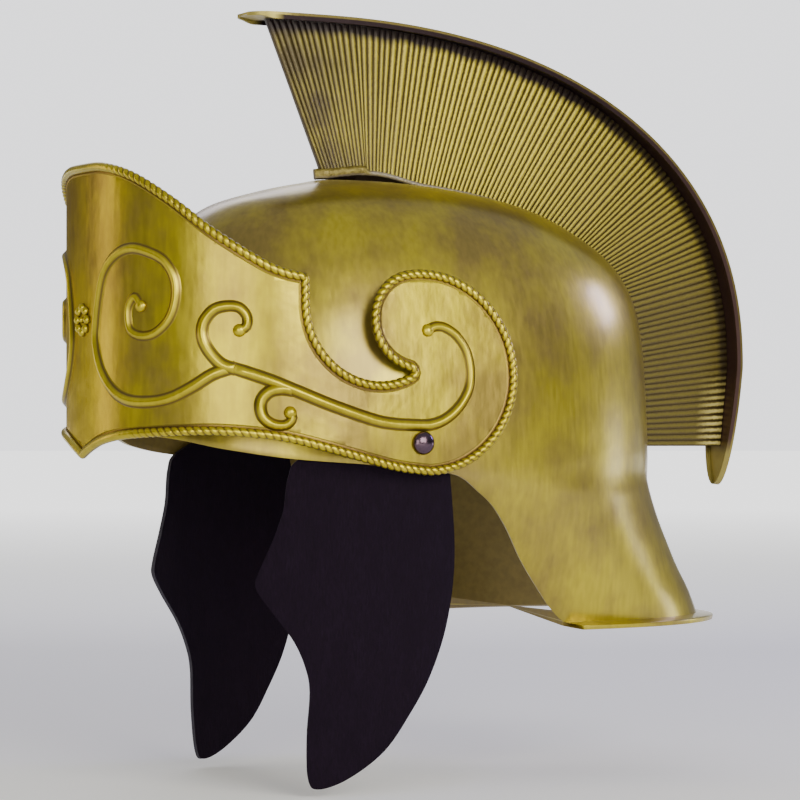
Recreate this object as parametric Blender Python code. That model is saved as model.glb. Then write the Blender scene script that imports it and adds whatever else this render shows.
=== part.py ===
"""Roman officer's costume helmet: a bowl, a turning visor, a tall fluted crest and two soft cheek flaps.

Metres, +Z up. The helmet faces -Y and the wearer's left is +X. The origin is the inside top of the crown,
where the helmet sits on a head.
"""

import math
from collections import namedtuple

import bmesh
import bpy
from mathutils import Matrix, Vector

# Clearances
SEAT_GAP = 0.0003
TURN_GAP = 0.0008
FLAP_GAP = 0.0014

# Bowl
BOWL_WALL = 0.002
BOWL_HALF_LENGTH = 0.1355
BOWL_HALF_WIDTH = 0.087
BOWL_SQUARENESS = 2.2
DOME_HEIGHT = 0.134
NECK_DROP = 0.0746
FLANGE_WIDTH = 0.008
FLANGE_DROP = 0.0012
CROWN_AHEAD = 0.0314
BOWL_SIDES = 30
CROWN_ROWS = 4
CROWN_STEPS = 2
EDGE_STEPS = 3
OPENING_REACH = 1.5

# Visor pivot, ahead of the middle of the bowl and above the foot of its dome
PIVOT_AHEAD = 0.028
PIVOT_RISE = 0.0104

# Visor
VISOR_WALL = 0.002
VISOR_REACH = 0.155
BROW_DEPTH = 0.105
BROW_SQUARENESS = 2.3
VOLUTE_RADIUS = 0.0444
VOLUTE_BEHIND = 0.0033
VOLUTE_RISE = 0.0318
CURL_RADIUS = 0.021
CURL_ANGLE = 100.5
NOTCH_RADIUS = 0.0361
NOTCH_AHEAD = 0.024
NOTCH_RISE = 0.030
NOTCH_LIP = 0.0116
CUSP_RADIUS = 0.0025
BROW_RISE = 0.0512
HEM_ARCH = 0.0184
EAR_LEAN = 0.007
LEAN_START = 0.45
LEAN_POWER = 1.6
ROPE_RADIUS = 0.0021
ROPE_STAND = 0.0003
ROPE_SIDES = 6
RIDGE_WIDTH = 0.0046
RIDGE_HEIGHT = 0.002
RIDGE_ROOT = 0.0009
KNOB_RADIUS = 0.0032
ROSETTE_RADIUS = 0.0054
PETAL_RADIUS = 0.0024
PETALS = 8
KNOB_RISE = 1.15
THIN_END = 0.8
RIDGE_LOW = 0.6

# Rivets
RIVET_HEAD_RADIUS = 0.0053
RIVET_HEAD_HEIGHT = 0.0034
RIVET_SHANK_RADIUS = 0.0024
RIVET_BACK_RADIUS = 0.0055
RIVET_BACK_THICKNESS = 0.0015
RIVET_BACK_TAPER = 0.9
RIVET_HEAD_TAPER = 0.97
RIVET_HEAD_ANGLES = (80, 62, 42, 22, 0)
RIVET_SIDES = 12
BORE_REACH = 1.3

# Crest
CREST_FRONT_FOOT = 0.0350
CREST_FRONT_TIP = 0.0636
CREST_HEIGHT = 0.0788
CREST_REAR = 0.1987
CREST_WAIST = 0.0857
CREST_SQUARENESS = 2.26
CREST_LEVEL_END = 0.042
CREST_BOTTOM = 0.126
CREST_TUCK = 0.0044
RIB_COUNT = 116
RIB_HALF = 0.0019
VALLEY_HALF = 0.0010
FOOT_BLOCK = 0.0052
FOOT_STRIP = 0.0030
FOOT_TAIL = 0.0012
FOOT_HALF_WIDTH = 0.0034
FOOT_BLOCK_LENGTH = 0.028
FOOT_TOE = 0.0026
FOOT_LIFT = 0.0018
FOOT_LIFT_LENGTH = 0.055
CAP_HALF_WIDTH = 0.013
CAP_THICKNESS = 0.0018
CAP_LIP = 0.0016
CAP_LIP_WIDTH = 0.0016
CAP_TONGUE_REAR = 0.055
CAP_TAIL = 0.0195
CAP_CURL = 0.0022
CAP_LEAST_SHARE = 0.045
CAP_LIP_SHARE = 0.6

# Cheek flaps
FLAP_THICKNESS = 0.002
FLAP_LENGTH = 0.141
FLAP_WIDTH = 0.088
FLAP_TUCK = 0.028
FLAP_INWARD = 0.010
FLAP_DOME_TURN = 0.16
FLAP_REAR = 0.2
FLAP_RIM = 0.034
FLAP_HANG_POWER = 1.5

# Spacing of the facets, in metres and degrees
PLAN_SAMPLES = 240
PLAN_STEP = 0.001
ARC_TURN = 9
EDGE_TURN = 20
EDGE_LONGEST = 0.017
BEND_STRIP = 0.012
BEND_LEVELS = (0.5, 1.2, 1.9)
RIDGE_STEPS = 4
RIDGE_TURN = 25
RIDGE_LONGEST = 0.016
CREST_STEPS = 30
FOOT_STEP = 0.008
CAP_STEP = 0.014
FLAP_STEP = 0.016
FLAP_TURN = 12
MERGE = 0.00005

DomeRow = namedtuple("DomeRow", "depth front rear side")
NeckRow = namedtuple("NeckRow", "drop front rear side")
EdgeKnot = namedtuple("EdgeKnot", "along height")
RibRow = namedtuple("RibRow", "outer inner")

# Depth is a share of the dome's height, front and rear of its half length, side of its half width
DOME_ROWS = (
    DomeRow(0.012, -0.330, 0.054, 0.263),
    DomeRow(0.045, -0.486, 0.334, 0.432),
    DomeRow(0.100, -0.660, 0.559, 0.577),
    DomeRow(0.180, -0.765, 0.721, 0.705),
    DomeRow(0.280, -0.835, 0.859, 0.808),
    DomeRow(0.400, -0.885, 0.939, 0.888),
    DomeRow(0.550, -0.930, 0.976, 0.950),
    DomeRow(0.750, -0.972, 0.990, 0.989),
    DomeRow(1.000, -1.000, 1.000, 1.000),
)

# Drop is a share of the neck guard's drop below the dome, the rest as in the dome
NECK_ROWS = (
    NeckRow(0.07, -1.000, 0.993, 0.998),
    NeckRow(0.14, -0.880, 0.997, 0.988),
    NeckRow(0.24, -0.760, 1.013, 0.962),
    NeckRow(0.39, -0.600, 1.045, 0.925),
    NeckRow(0.55, -0.430, 1.087, 0.885),
    NeckRow(0.70, -0.280, 1.128, 0.850),
    NeckRow(0.85, -0.130, 1.178, 0.815),
    NeckRow(1.00, 0.000, 1.215, 0.785),
)

# Along is a share of the bowl's half length from its middle, height of the dome's height below the crown
RIM_KNOTS = (
    EdgeKnot(-1.30, 0.888),
    EdgeKnot(-1.00, 0.896),
    EdgeKnot(-0.81, 0.942),
    EdgeKnot(-0.62, 0.974),
    EdgeKnot(-0.38, 0.994),
    EdgeKnot(-0.18, 1.016),
    EdgeKnot(-0.06, 1.034),
)

# Along is a share of the bowl's half length from its middle, height of the neck guard's drop below the dome
NECK_EDGE_KNOTS = (
    EdgeKnot(0.023, 0.162),
    EdgeKnot(0.090, 0.256),
    EdgeKnot(0.157, 0.401),
    EdgeKnot(0.232, 0.598),
    EdgeKnot(0.309, 0.765),
    EdgeKnot(0.375, 0.898),
    EdgeKnot(0.425, 0.979),
    EdgeKnot(0.470, 1.030),
    EdgeKnot(0.530, 1.120),
)

# Along is a share of the way from the middle of the brow to the notch's corner, height of the brow's rise
BROW_KNOTS = (
    EdgeKnot(0.000, 1.000),
    EdgeKnot(0.163, 0.988),
    EdgeKnot(0.327, 0.895),
    EdgeKnot(0.493, 0.680),
    EdgeKnot(0.657, 0.391),
    EdgeKnot(0.819, 0.146),
    EdgeKnot(0.912, 0.043),
    EdgeKnot(1.000, 0.000),
)

# Along is a share of the way from the middle of the brow to the volute's centre, height of the hem's arch
HEM_KNOTS = (
    EdgeKnot(1.000, 0.000),
    EdgeKnot(0.907, 0.120),
    EdgeKnot(0.792, 0.410),
    EdgeKnot(0.716, 0.610),
    EdgeKnot(0.639, 0.800),
    EdgeKnot(0.563, 0.918),
    EdgeKnot(0.428, 1.000),
    EdgeKnot(0.219, 0.908),
    EdgeKnot(0.120, 0.777),
    EdgeKnot(0.060, 0.610),
    EdgeKnot(0.000, 0.390),
)

# The ridges of the scrolls: along as for the hem, height a share of the band's rise above the volute's bottom
FRONT_SCROLL = (
    EdgeKnot(0.252, 0.536),
    EdgeKnot(0.233, 0.566),
    EdgeKnot(0.213, 0.540),
    EdgeKnot(0.209, 0.498),
    EdgeKnot(0.220, 0.456),
    EdgeKnot(0.255, 0.439),
    EdgeKnot(0.294, 0.448),
    EdgeKnot(0.331, 0.490),
    EdgeKnot(0.349, 0.553),
    EdgeKnot(0.347, 0.621),
    EdgeKnot(0.320, 0.679),
    EdgeKnot(0.274, 0.710),
    EdgeKnot(0.220, 0.724),
    EdgeKnot(0.165, 0.705),
    EdgeKnot(0.119, 0.657),
    EdgeKnot(0.095, 0.587),
    EdgeKnot(0.080, 0.502),
    EdgeKnot(0.075, 0.423),
    EdgeKnot(0.100, 0.337),
    EdgeKnot(0.149, 0.268),
    EdgeKnot(0.206, 0.233),
    EdgeKnot(0.274, 0.226),
    EdgeKnot(0.336, 0.239),
    EdgeKnot(0.393, 0.274),
    EdgeKnot(0.446, 0.316),
    EdgeKnot(0.500, 0.338),
)
MIDDLE_SCROLL = (
    EdgeKnot(0.508, 0.455),
    EdgeKnot(0.525, 0.468),
    EdgeKnot(0.526, 0.500),
    EdgeKnot(0.508, 0.528),
    EdgeKnot(0.478, 0.533),
    EdgeKnot(0.445, 0.520),
    EdgeKnot(0.421, 0.479),
    EdgeKnot(0.419, 0.431),
    EdgeKnot(0.436, 0.386),
    EdgeKnot(0.465, 0.347),
    EdgeKnot(0.500, 0.330),
)
LOWER_SCROLL = (
    EdgeKnot(0.640, 0.262),
    EdgeKnot(0.612, 0.268),
    EdgeKnot(0.583, 0.261),
    EdgeKnot(0.563, 0.236),
    EdgeKnot(0.559, 0.205),
    EdgeKnot(0.568, 0.173),
    EdgeKnot(0.592, 0.153),
    EdgeKnot(0.621, 0.153),
    EdgeKnot(0.636, 0.173),
    EdgeKnot(0.631, 0.192),
)
EAR_SCROLL = (
    EdgeKnot(0.490, 0.336),
    EdgeKnot(0.537, 0.316),
    EdgeKnot(0.587, 0.293),
    EdgeKnot(0.640, 0.265),
    EdgeKnot(0.738, 0.214),
    EdgeKnot(0.846, 0.168),
    EdgeKnot(0.902, 0.155),
    EdgeKnot(0.959, 0.151),
    EdgeKnot(1.005, 0.152),
    EdgeKnot(1.047, 0.171),
    EdgeKnot(1.087, 0.213),
    EdgeKnot(1.115, 0.272),
    EdgeKnot(1.121, 0.335),
    EdgeKnot(1.112, 0.394),
    EdgeKnot(1.087, 0.443),
    EdgeKnot(1.055, 0.470),
    EdgeKnot(1.028, 0.474),
    EdgeKnot(1.006, 0.461),
)
ROSETTE_HEIGHT = 0.498

# How far along the crest's outer edge, and how far along its base, each rib stands
RIB_SPREAD = (
    RibRow(0.00, 0.00),
    RibRow(0.17, 0.13),
    RibRow(0.35, 0.31),
    RibRow(0.59, 0.57),
    RibRow(0.76, 0.71),
    RibRow(1.00, 1.00),
)

# Places along the cap's front tongue and along its rear tongue
TONGUE_SHARES = (0.02, 0.12, 0.30, 0.55, 0.80)
TAIL_SHARES = (0.20, 0.42, 0.62, 0.80, 0.92, 0.99)

# Along is a share of the flap's width ahead of its rear edge, height of its length below the bowl's rim
FLAP_KNOTS = (
    EdgeKnot(0.000, 0.000),
    EdgeKnot(-0.035, 0.260),
    EdgeKnot(-0.005, 0.470),
    EdgeKnot(0.078, 0.640),
    EdgeKnot(0.190, 0.770),
    EdgeKnot(0.320, 0.885),
    EdgeKnot(0.505, 0.970),
    EdgeKnot(0.650, 1.000),
    EdgeKnot(0.700, 0.965),
    EdgeKnot(0.715, 0.830),
    EdgeKnot(0.710, 0.690),
    EdgeKnot(0.735, 0.610),
    EdgeKnot(0.800, 0.520),
    EdgeKnot(0.915, 0.418),
    EdgeKnot(0.975, 0.355),
    EdgeKnot(0.968, 0.310),
    EdgeKnot(0.910, 0.210),
    EdgeKnot(0.862, 0.110),
    EdgeKnot(0.840, 0.000),
)

# The hidden top of the flap: height is a share of its tuck above the rim
TUCK_KNOTS = (
    EdgeKnot(0.78, 0.30),
    EdgeKnot(0.50, 0.68),
    EdgeKnot(0.25, 1.00),
    EdgeKnot(0.08, 0.85),
)

FULL_TURN = 2.0 * math.pi
TINY = 1e-9

# Heights and places that follow from the sizes above
CROWN_TOP = BOWL_WALL
DOME_FOOT = CROWN_TOP - DOME_HEIGHT
PIVOT_Y = -PIVOT_AHEAD
PIVOT_Z = DOME_FOOT + PIVOT_RISE
VISOR_HALF_WIDTH = BOWL_HALF_WIDTH + TURN_GAP + VISOR_WALL
BROW_MIDDLE_Y = BROW_DEPTH - VISOR_REACH
VOLUTE_Z = PIVOT_Z + VOLUTE_RISE
HEM_Z = VOLUTE_Z - VOLUTE_RADIUS
NOTCH_Z = VOLUTE_Z + NOTCH_RISE
CORNER_Z = NOTCH_Z + NOTCH_LIP
BAND_RISE = CORNER_Z + BROW_RISE - HEM_Z


def smooth_value(values, t):
    """A smooth curve's value a share of the way between the middle two of four values."""
    a, b, c, d = values
    return 0.5 * (2 * b + (c - a) * t + (2 * a - 5 * b + 4 * c - d) * t ** 2 + (3 * b - a - 3 * c + d) * t ** 3)


def smooth_path(points, steps):
    """Points along a smooth curve through the given points, with this many steps between each two."""
    path = []
    last = len(points) - 1
    for index in range(last):
        before = points[max(index - 1, 0)]
        start = points[index]
        end = points[index + 1]
        after = points[min(index + 2, last)]
        for step in range(steps):
            t = step / steps
            path.append(tuple(smooth_value(values, t) for values in zip(before, start, end, after)))
    path.append(tuple(points[last]))
    return path


def path_lengths(points):
    """How far along a polyline each of its points lies."""
    lengths = [0.0]
    for start, end in zip(points, points[1:]):
        lengths.append(lengths[-1] + math.dist(start, end))
    return lengths


def even_path(points, spacing):
    """The same polyline with its points at an even spacing near the one given."""
    lengths = path_lengths(points)
    count = round(lengths[-1] / spacing)
    return [point_at(points, lengths, lengths[-1] * index / count) for index in range(count + 1)]


def turn_path(points, turn, longest):
    """The same polyline with only the points its bends need: one for each turn in degrees, or each length."""
    path = [points[0]]
    turned = 0.0
    for before, point, after in zip(points, points[1:], points[2:]):
        arriving = math.atan2(point[1] - before[1], point[0] - before[0])
        leaving = math.atan2(after[1] - point[1], after[0] - point[0])
        turned += abs(math.remainder(leaving - arriving, FULL_TURN))
        if turned > math.radians(turn) or math.dist(path[-1], point) > longest:
            path.append(point)
            turned = 0.0
    path.append(points[-1])
    return path


def split_path(points, spacing):
    """The same polyline with its corners kept and its long stretches split."""
    path = [points[0]]
    for start, end in zip(points, points[1:]):
        pieces = max(1, math.ceil(math.dist(start, end) / spacing))
        for piece in range(1, pieces + 1):
            path.append(tuple(a + (b - a) * piece / pieces for a, b in zip(start, end)))
    return path


def point_at(points, lengths, distance):
    """The point of a polyline at this distance along it."""
    for index in range(1, len(points)):
        if distance <= lengths[index] + TINY:
            share = (distance - lengths[index - 1]) / max(lengths[index] - lengths[index - 1], TINY)
            return tuple(a + (b - a) * share for a, b in zip(points[index - 1], points[index]))
    return tuple(points[-1])


def share_points(points, shares):
    """The points of a polyline at these shares of its length."""
    lengths = path_lengths(points)
    return [point_at(points, lengths, lengths[-1] * share) for share in shares]


def cut_path(points, start):
    """The part of a side-view polyline that lies behind a place, beginning exactly there."""
    kept = [point for point in points if point[0] > start]
    before = [point for point in points if point[0] <= start][-1]
    share = (start - before[0]) / (kept[0][0] - before[0])
    return [(start, before[1] + (kept[0][1] - before[1]) * share)] + kept


def offset_path(points, distance):
    """A side-view polyline moved to its left by a distance, which may be one value for each point."""
    moved = []
    for index, (y, z) in enumerate(points):
        before = points[max(index - 1, 0)]
        after = points[min(index + 1, len(points) - 1)]
        length = math.dist(before, after)
        step = distance[index] if isinstance(distance, list) else distance
        moved.append((y - step * (after[1] - before[1]) / length, z + step * (after[0] - before[0]) / length))
    return moved


def signed_power(value, power):
    """A power of the size of a value, with the value's own sign."""
    return math.copysign(abs(value) ** power, value)


def table_value(rows, value):
    """The second column of a table at a value of its first column, by straight lines."""
    for low, high in zip(rows, rows[1:]):
        if value <= high[0] + TINY:
            return low[1] + (high[1] - low[1]) * (value - low[0]) / (high[0] - low[0])
    return rows[-1][1]


def finish_material(name, colour, roughness, metallic):
    """A Principled material."""
    material = bpy.data.materials.new(name)
    material.use_nodes = True
    shader = material.node_tree.nodes["Principled BSDF"]
    shader.inputs["Base Color"].default_value = (*colour, 1.0)
    shader.inputs["Roughness"].default_value = roughness
    shader.inputs["Metallic"].default_value = metallic
    return material


def new_object(name, mesh_builder, material):
    """An object at the origin whose mesh is the one just built."""
    bmesh.ops.recalc_face_normals(mesh_builder, faces=mesh_builder.faces)
    mesh = bpy.data.meshes.new(name)
    mesh_builder.to_mesh(mesh)
    mesh_builder.free()
    mesh.materials.append(material)
    item = bpy.data.objects.new(name, mesh)
    bpy.context.scene.collection.objects.link(item)
    return item


def shade(item, angle):
    """Smooth shading up to an angle in degrees."""
    item.data.shade_smooth()
    item.data.set_sharp_from_angle(angle=math.radians(angle))


def guide(item):
    """Mark a cutter or a shape to be joined, which isn't part of the model."""
    item.hide_render = True
    item.display_type = "WIRE"
    return item


def boolean(item, tool, operation, self_overlap=False):
    """Add a Boolean modifier."""
    change = item.modifiers.new(operation.lower(), "BOOLEAN")
    change.operation = operation
    change.object = tool
    change.solver = "EXACT"
    change.use_self = self_overlap


def loft(builder, rings, closed_ring=True, cap_ends=True):
    """Faces between rings of points with the same count. Returns the rings' vertices."""
    made = [[builder.verts.new(point) for point in ring] for ring in rings]
    for low, high in zip(made, made[1:]):
        count = len(low)
        for index in range(count if closed_ring else count - 1):
            following = (index + 1) % count
            builder.faces.new((low[index], low[following], high[following], high[index]))
    if cap_ends:
        builder.faces.new(list(reversed(made[0])))
        builder.faces.new(made[-1])
    return made


def pivot_ring(x, radius):
    """A circle of points round the visor's pivot."""
    return [(x, PIVOT_Y + radius * math.cos(FULL_TURN * k / RIVET_SIDES),
             PIVOT_Z + radius * math.sin(FULL_TURN * k / RIVET_SIDES)) for k in range(RIVET_SIDES)]


def cross_cylinder(name, radius, material):
    """A cutter right through the helmet along the visor's pivot."""
    builder = bmesh.new()
    reach = BORE_REACH * BOWL_HALF_WIDTH
    loft(builder, [pivot_ring(x, radius) for x in (-reach, reach)])
    return guide(new_object(name, builder, material))


def bowl_rows():
    """The bowl's sections from the crown down: height, front, rear and half width of each."""
    rows = [(CROWN_TOP - row.depth * DOME_HEIGHT, row.front * BOWL_HALF_LENGTH,
             row.rear * BOWL_HALF_LENGTH, row.side * BOWL_HALF_WIDTH) for row in DOME_ROWS]
    rows += [(DOME_FOOT - row.drop * NECK_DROP, row.front * BOWL_HALF_LENGTH,
              row.rear * BOWL_HALF_LENGTH, row.side * BOWL_HALF_WIDTH) for row in NECK_ROWS]
    return smooth_path(rows[:CROWN_ROWS + 1], CROWN_STEPS) + rows[CROWN_ROWS + 1:]


def bowl_section(row):
    """The outline of one section of the bowl."""
    height, front, rear, half_width = row
    middle = (front + rear) / 2
    half_length = (rear - front) / 2
    power = 2.0 / BOWL_SQUARENESS
    outline = []
    for k in range(BOWL_SIDES):
        angle = FULL_TURN * k / BOWL_SIDES
        outline.append((half_width * signed_power(math.cos(angle), power),
                        middle + half_length * signed_power(math.sin(angle), power), height))
    return outline


def side_prism(name, outline, material):
    """A cutter across the whole helmet with an outline in the side view."""
    builder = bmesh.new()
    reach = BORE_REACH * BOWL_HALF_WIDTH
    loft(builder, [[(x, y, z) for y, z in outline] for x in (-reach, reach)])
    return guide(new_object(name, builder, material))


def make_bowl(gold):
    """Skull, neck guard and flange as one thin moulding, with its face opening and its rivet holes."""
    rows = bowl_rows()
    rings = [bowl_section(row) for row in rows]
    height, front, rear, half_width = rows[-1]
    rings.append(bowl_section((height - FLANGE_DROP, front - FLANGE_WIDTH, rear + FLANGE_WIDTH,
                               half_width + FLANGE_WIDTH)))
    builder = bmesh.new()
    made = loft(builder, rings, cap_ends=False)
    crown = builder.verts.new((0.0, -CROWN_AHEAD, CROWN_TOP))
    top_ring = made[0]
    for index, vertex in enumerate(top_ring):
        builder.faces.new((crown, vertex, top_ring[(index + 1) % len(top_ring)]))
    bowl = new_object("bowl", builder, gold)
    if bowl.data.polygons[-1].normal.z < 0:
        bowl.data.flip_normals()
    wall = bowl.modifiers.new("wall", "SOLIDIFY")
    wall.thickness = BOWL_WALL
    wall.offset = -1.0
    wall.use_even_offset = True
    rim = [(knot.along * BOWL_HALF_LENGTH, CROWN_TOP - knot.height * DOME_HEIGHT) for knot in RIM_KNOTS]
    rim += [(knot.along * BOWL_HALF_LENGTH, DOME_FOOT - knot.height * NECK_DROP) for knot in NECK_EDGE_KNOTS]
    edge = smooth_path(rim, EDGE_STEPS)
    below = DOME_FOOT - OPENING_REACH * NECK_DROP
    outline = edge + [(edge[-1][0], below), (edge[0][0], below)]
    boolean(bowl, side_prism("face_opening", outline, gold), "DIFFERENCE")
    boolean(bowl, cross_cylinder("rivet_bore", RIVET_SHANK_RADIUS + SEAT_GAP, gold), "DIFFERENCE")
    shade(bowl, 40)
    return bowl


class Band:
    """The visor's surface: a plan curve round the brow, unrolled into along and height."""

    def __init__(self):
        """Measure the plan curve from the middle of the brow back past the ear."""
        power = 2.0 / BROW_SQUARENESS
        self.plan = []
        for k in range(PLAN_SAMPLES + 1):
            angle = 0.25 * FULL_TURN * k / PLAN_SAMPLES
            self.plan.append((VISOR_HALF_WIDTH * math.sin(angle) ** power if k else 0.0,
                              BROW_MIDDLE_Y - BROW_DEPTH * abs(math.cos(angle)) ** power))
        self.plan.append((VISOR_HALF_WIDTH, BROW_MIDDLE_Y + BROW_DEPTH + BOWL_HALF_LENGTH))
        self.lengths = path_lengths(self.plan)
        self.pivot = self.lengths[PLAN_SAMPLES] + PIVOT_Y - BROW_MIDDLE_Y
        self.volute = self.pivot + VOLUTE_BEHIND
        self.notch = self.volute - NOTCH_AHEAD
        self.corner = self.notch - NOTCH_RADIUS

    def plan_point(self, along):
        """The plan curve's point and outward direction at a distance on either side of the middle."""
        side = math.copysign(1.0, along)
        reach = abs(along)
        x, y = point_at(self.plan, self.lengths, reach)
        x_before, y_before = point_at(self.plan, self.lengths, max(reach - PLAN_STEP, 0.0))
        x_after, y_after = point_at(self.plan, self.lengths, reach + PLAN_STEP)
        if reach < PLAN_STEP:
            return (side * x, y), (0.0, -1.0)
        length = math.hypot(x_after - x_before, y_after - y_before)
        return (side * x, y), (side * (y_after - y_before) / length, -(x_after - x_before) / length)

    def lean(self, y, height):
        """How far the surface leans in toward the dome beside the ears."""
        rise = max(0.0, height - PIVOT_Z) / (VOLUTE_RISE + VOLUTE_RADIUS)
        back = min(1.0, max(0.0, 1.0 + (y - BROW_MIDDLE_Y) / (LEAN_START * BROW_DEPTH)))
        return EAR_LEAN * rise ** LEAN_POWER * back * back * (3 - 2 * back)

    def place(self, along, height, stand):
        """The point in space at a place on the band, standing out from it."""
        (x, y), (out_x, out_y) = self.plan_point(along)
        x -= math.copysign(self.lean(y, height), along)
        return Vector((x + stand * out_x, y + stand * out_y, height))


def circle_meeting(centre_a, radius_a, centre_b, radius_b):
    """The lower of the two points where two circles meet."""
    gap = math.dist(centre_a, centre_b)
    along = (radius_a ** 2 - radius_b ** 2 + gap ** 2) / (2 * gap)
    across = math.sqrt(max(radius_a ** 2 - along ** 2, 0.0))
    unit = ((centre_b[0] - centre_a[0]) / gap, (centre_b[1] - centre_a[1]) / gap)
    foot = (centre_a[0] + along * unit[0], centre_a[1] + along * unit[1])
    meets = [(foot[0] + sign * across * unit[1], foot[1] - sign * across * unit[0]) for sign in (-1, 1)]
    return min(meets, key=lambda point: point[1])


def arc(centre, radius, start, end):
    """Points of an arc between two angles in radians, turning from start to end."""
    steps = max(3, round(abs(end - start) / math.radians(ARC_TURN)))
    return [(centre[0] + radius * math.cos(start + (end - start) * k / steps),
             centre[1] + radius * math.sin(start + (end - start) * k / steps)) for k in range(steps + 1)]


def heading(centre, point):
    """The angle from a centre to a point."""
    return math.atan2(point[1] - centre[1], point[0] - centre[0])


def half_outline(band):
    """The visor's edge on the wearer's left, from the middle of the brow round to the middle of the hem."""
    brow_knots = [(knot.along * band.corner, CORNER_Z + knot.height * BROW_RISE) for knot in BROW_KNOTS]
    notch_centre = (band.notch, NOTCH_Z)
    volute_centre = (band.volute, VOLUTE_Z)
    tilt = math.radians(CURL_ANGLE)
    between = VOLUTE_RADIUS - CURL_RADIUS
    curl_centre = (band.volute + between * math.cos(tilt), VOLUTE_Z + between * math.sin(tilt))
    nook_centre = circle_meeting(notch_centre, NOTCH_RADIUS - CUSP_RADIUS,
                                 curl_centre, CURL_RADIUS + CUSP_RADIUS)
    arriving = heading(notch_centre, nook_centre)
    leaving = heading(nook_centre, curl_centre)
    notch = arc(notch_centre, NOTCH_RADIUS, -math.pi, arriving)
    cusp = arc(nook_centre, CUSP_RADIUS, arriving, leaving)
    curl = arc(curl_centre, CURL_RADIUS, leaving + math.pi, tilt)
    volute = arc(volute_centre, VOLUTE_RADIUS, tilt, -0.25 * FULL_TURN)
    hem_knots = [(knot.along * band.volute, HEM_Z + knot.height * HEM_ARCH) for knot in HEM_KNOTS]
    brow = smooth_path(brow_knots, EDGE_STEPS)
    hem = smooth_path(hem_knots, EDGE_STEPS)
    return brow + notch + cusp[1:] + curl[1:] + volute[1:] + hem[1:]


def sheet_from_outline(outline, across_cuts, up_cuts):
    """A flat sheet with this outline, cut into a grid so that it can be bent."""
    builder = bmesh.new()
    builder.faces.new([builder.verts.new((along, height, 0.0)) for along, height in outline])
    for place in across_cuts:
        everything = builder.verts[:] + builder.edges[:] + builder.faces[:]
        bmesh.ops.bisect_plane(builder, geom=everything, plane_co=(place, 0, 0), plane_no=(1, 0, 0))
    for place in up_cuts:
        everything = builder.verts[:] + builder.edges[:] + builder.faces[:]
        bmesh.ops.bisect_plane(builder, geom=everything, plane_co=(0, place, 0), plane_no=(0, 1, 0))
    bmesh.ops.remove_doubles(builder, verts=builder.verts, dist=MERGE)
    bmesh.ops.triangulate(builder, faces=builder.faces)
    return builder


def ridge(builder, band, path, section, closed, side=1.0):
    """A raised ridge along a path on the band. The section gives sideways and outward shares of each size."""
    rings = []
    count = len(path)
    for index, (along, height, width, rise) in enumerate(path):
        before = path[index - 1] if closed else path[max(index - 1, 0)]
        after = path[(index + 1) % count] if closed else path[min(index + 1, count - 1)]
        length = math.dist(before[:2], after[:2])
        across = (-(after[1] - before[1]) / length, (after[0] - before[0]) / length)
        rings.append([band.place(side * (along + sideways * width * across[0]),
                                 height + sideways * width * across[1],
                                 outward(rise)) for sideways, outward in section])
    if closed:
        rings.append(rings[0])
        made = loft(builder, rings, cap_ends=False)
        bmesh.ops.remove_doubles(builder, verts=made[0] + made[-1], dist=MERGE)
    else:
        loft(builder, rings)


def rope_section():
    """The rope edge's section: a round bead standing just proud of the band."""
    corners = []
    for k in range(ROPE_SIDES):
        angle = FULL_TURN * (k + 0.5) / ROPE_SIDES
        lift = math.sin(angle)
        corners.append((math.cos(angle), lambda rise, lift=lift: ROPE_STAND + rise * lift))
    return corners


def ridge_section():
    """A scroll's section: a low rounded ridge rooted in the band."""
    shape = ((-1.0, None), (-0.5, 0.94), (0.5, 0.94), (1.0, None))
    return [(sideways, lambda rise, lift=lift: -RIDGE_ROOT if lift is None else lift * rise)
            for sideways, lift in shape]


def scroll_path(band, knots, start_width, end_width):
    """The ridge's stations along one scroll, with its half width and its rise at each."""
    points = [(knot.along * band.volute, HEM_Z + knot.height * BAND_RISE) for knot in knots]
    stations = turn_path(smooth_path(points, RIDGE_STEPS), RIDGE_TURN, RIDGE_LONGEST)
    path = []
    for index, (along, height) in enumerate(stations):
        share = index / (len(stations) - 1)
        swell = start_width + (end_width - start_width) * share
        rise = RIDGE_LOW + (1 - RIDGE_LOW) * swell
        path.append((along, height, 0.5 * RIDGE_WIDTH * swell, RIDGE_HEIGHT * rise))
    return path


def knob(builder, band, along, height, radius, side):
    """A low round knob on the band."""
    made = bmesh.ops.create_icosphere(builder, subdivisions=1, radius=1.0)
    for vertex in made["verts"]:
        across, up, out = vertex.co
        vertex.co = band.place(side * (along + radius * across), height + radius * up,
                               out * RIDGE_HEIGHT * KNOB_RISE if out > 0 else out * RIDGE_ROOT)


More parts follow.
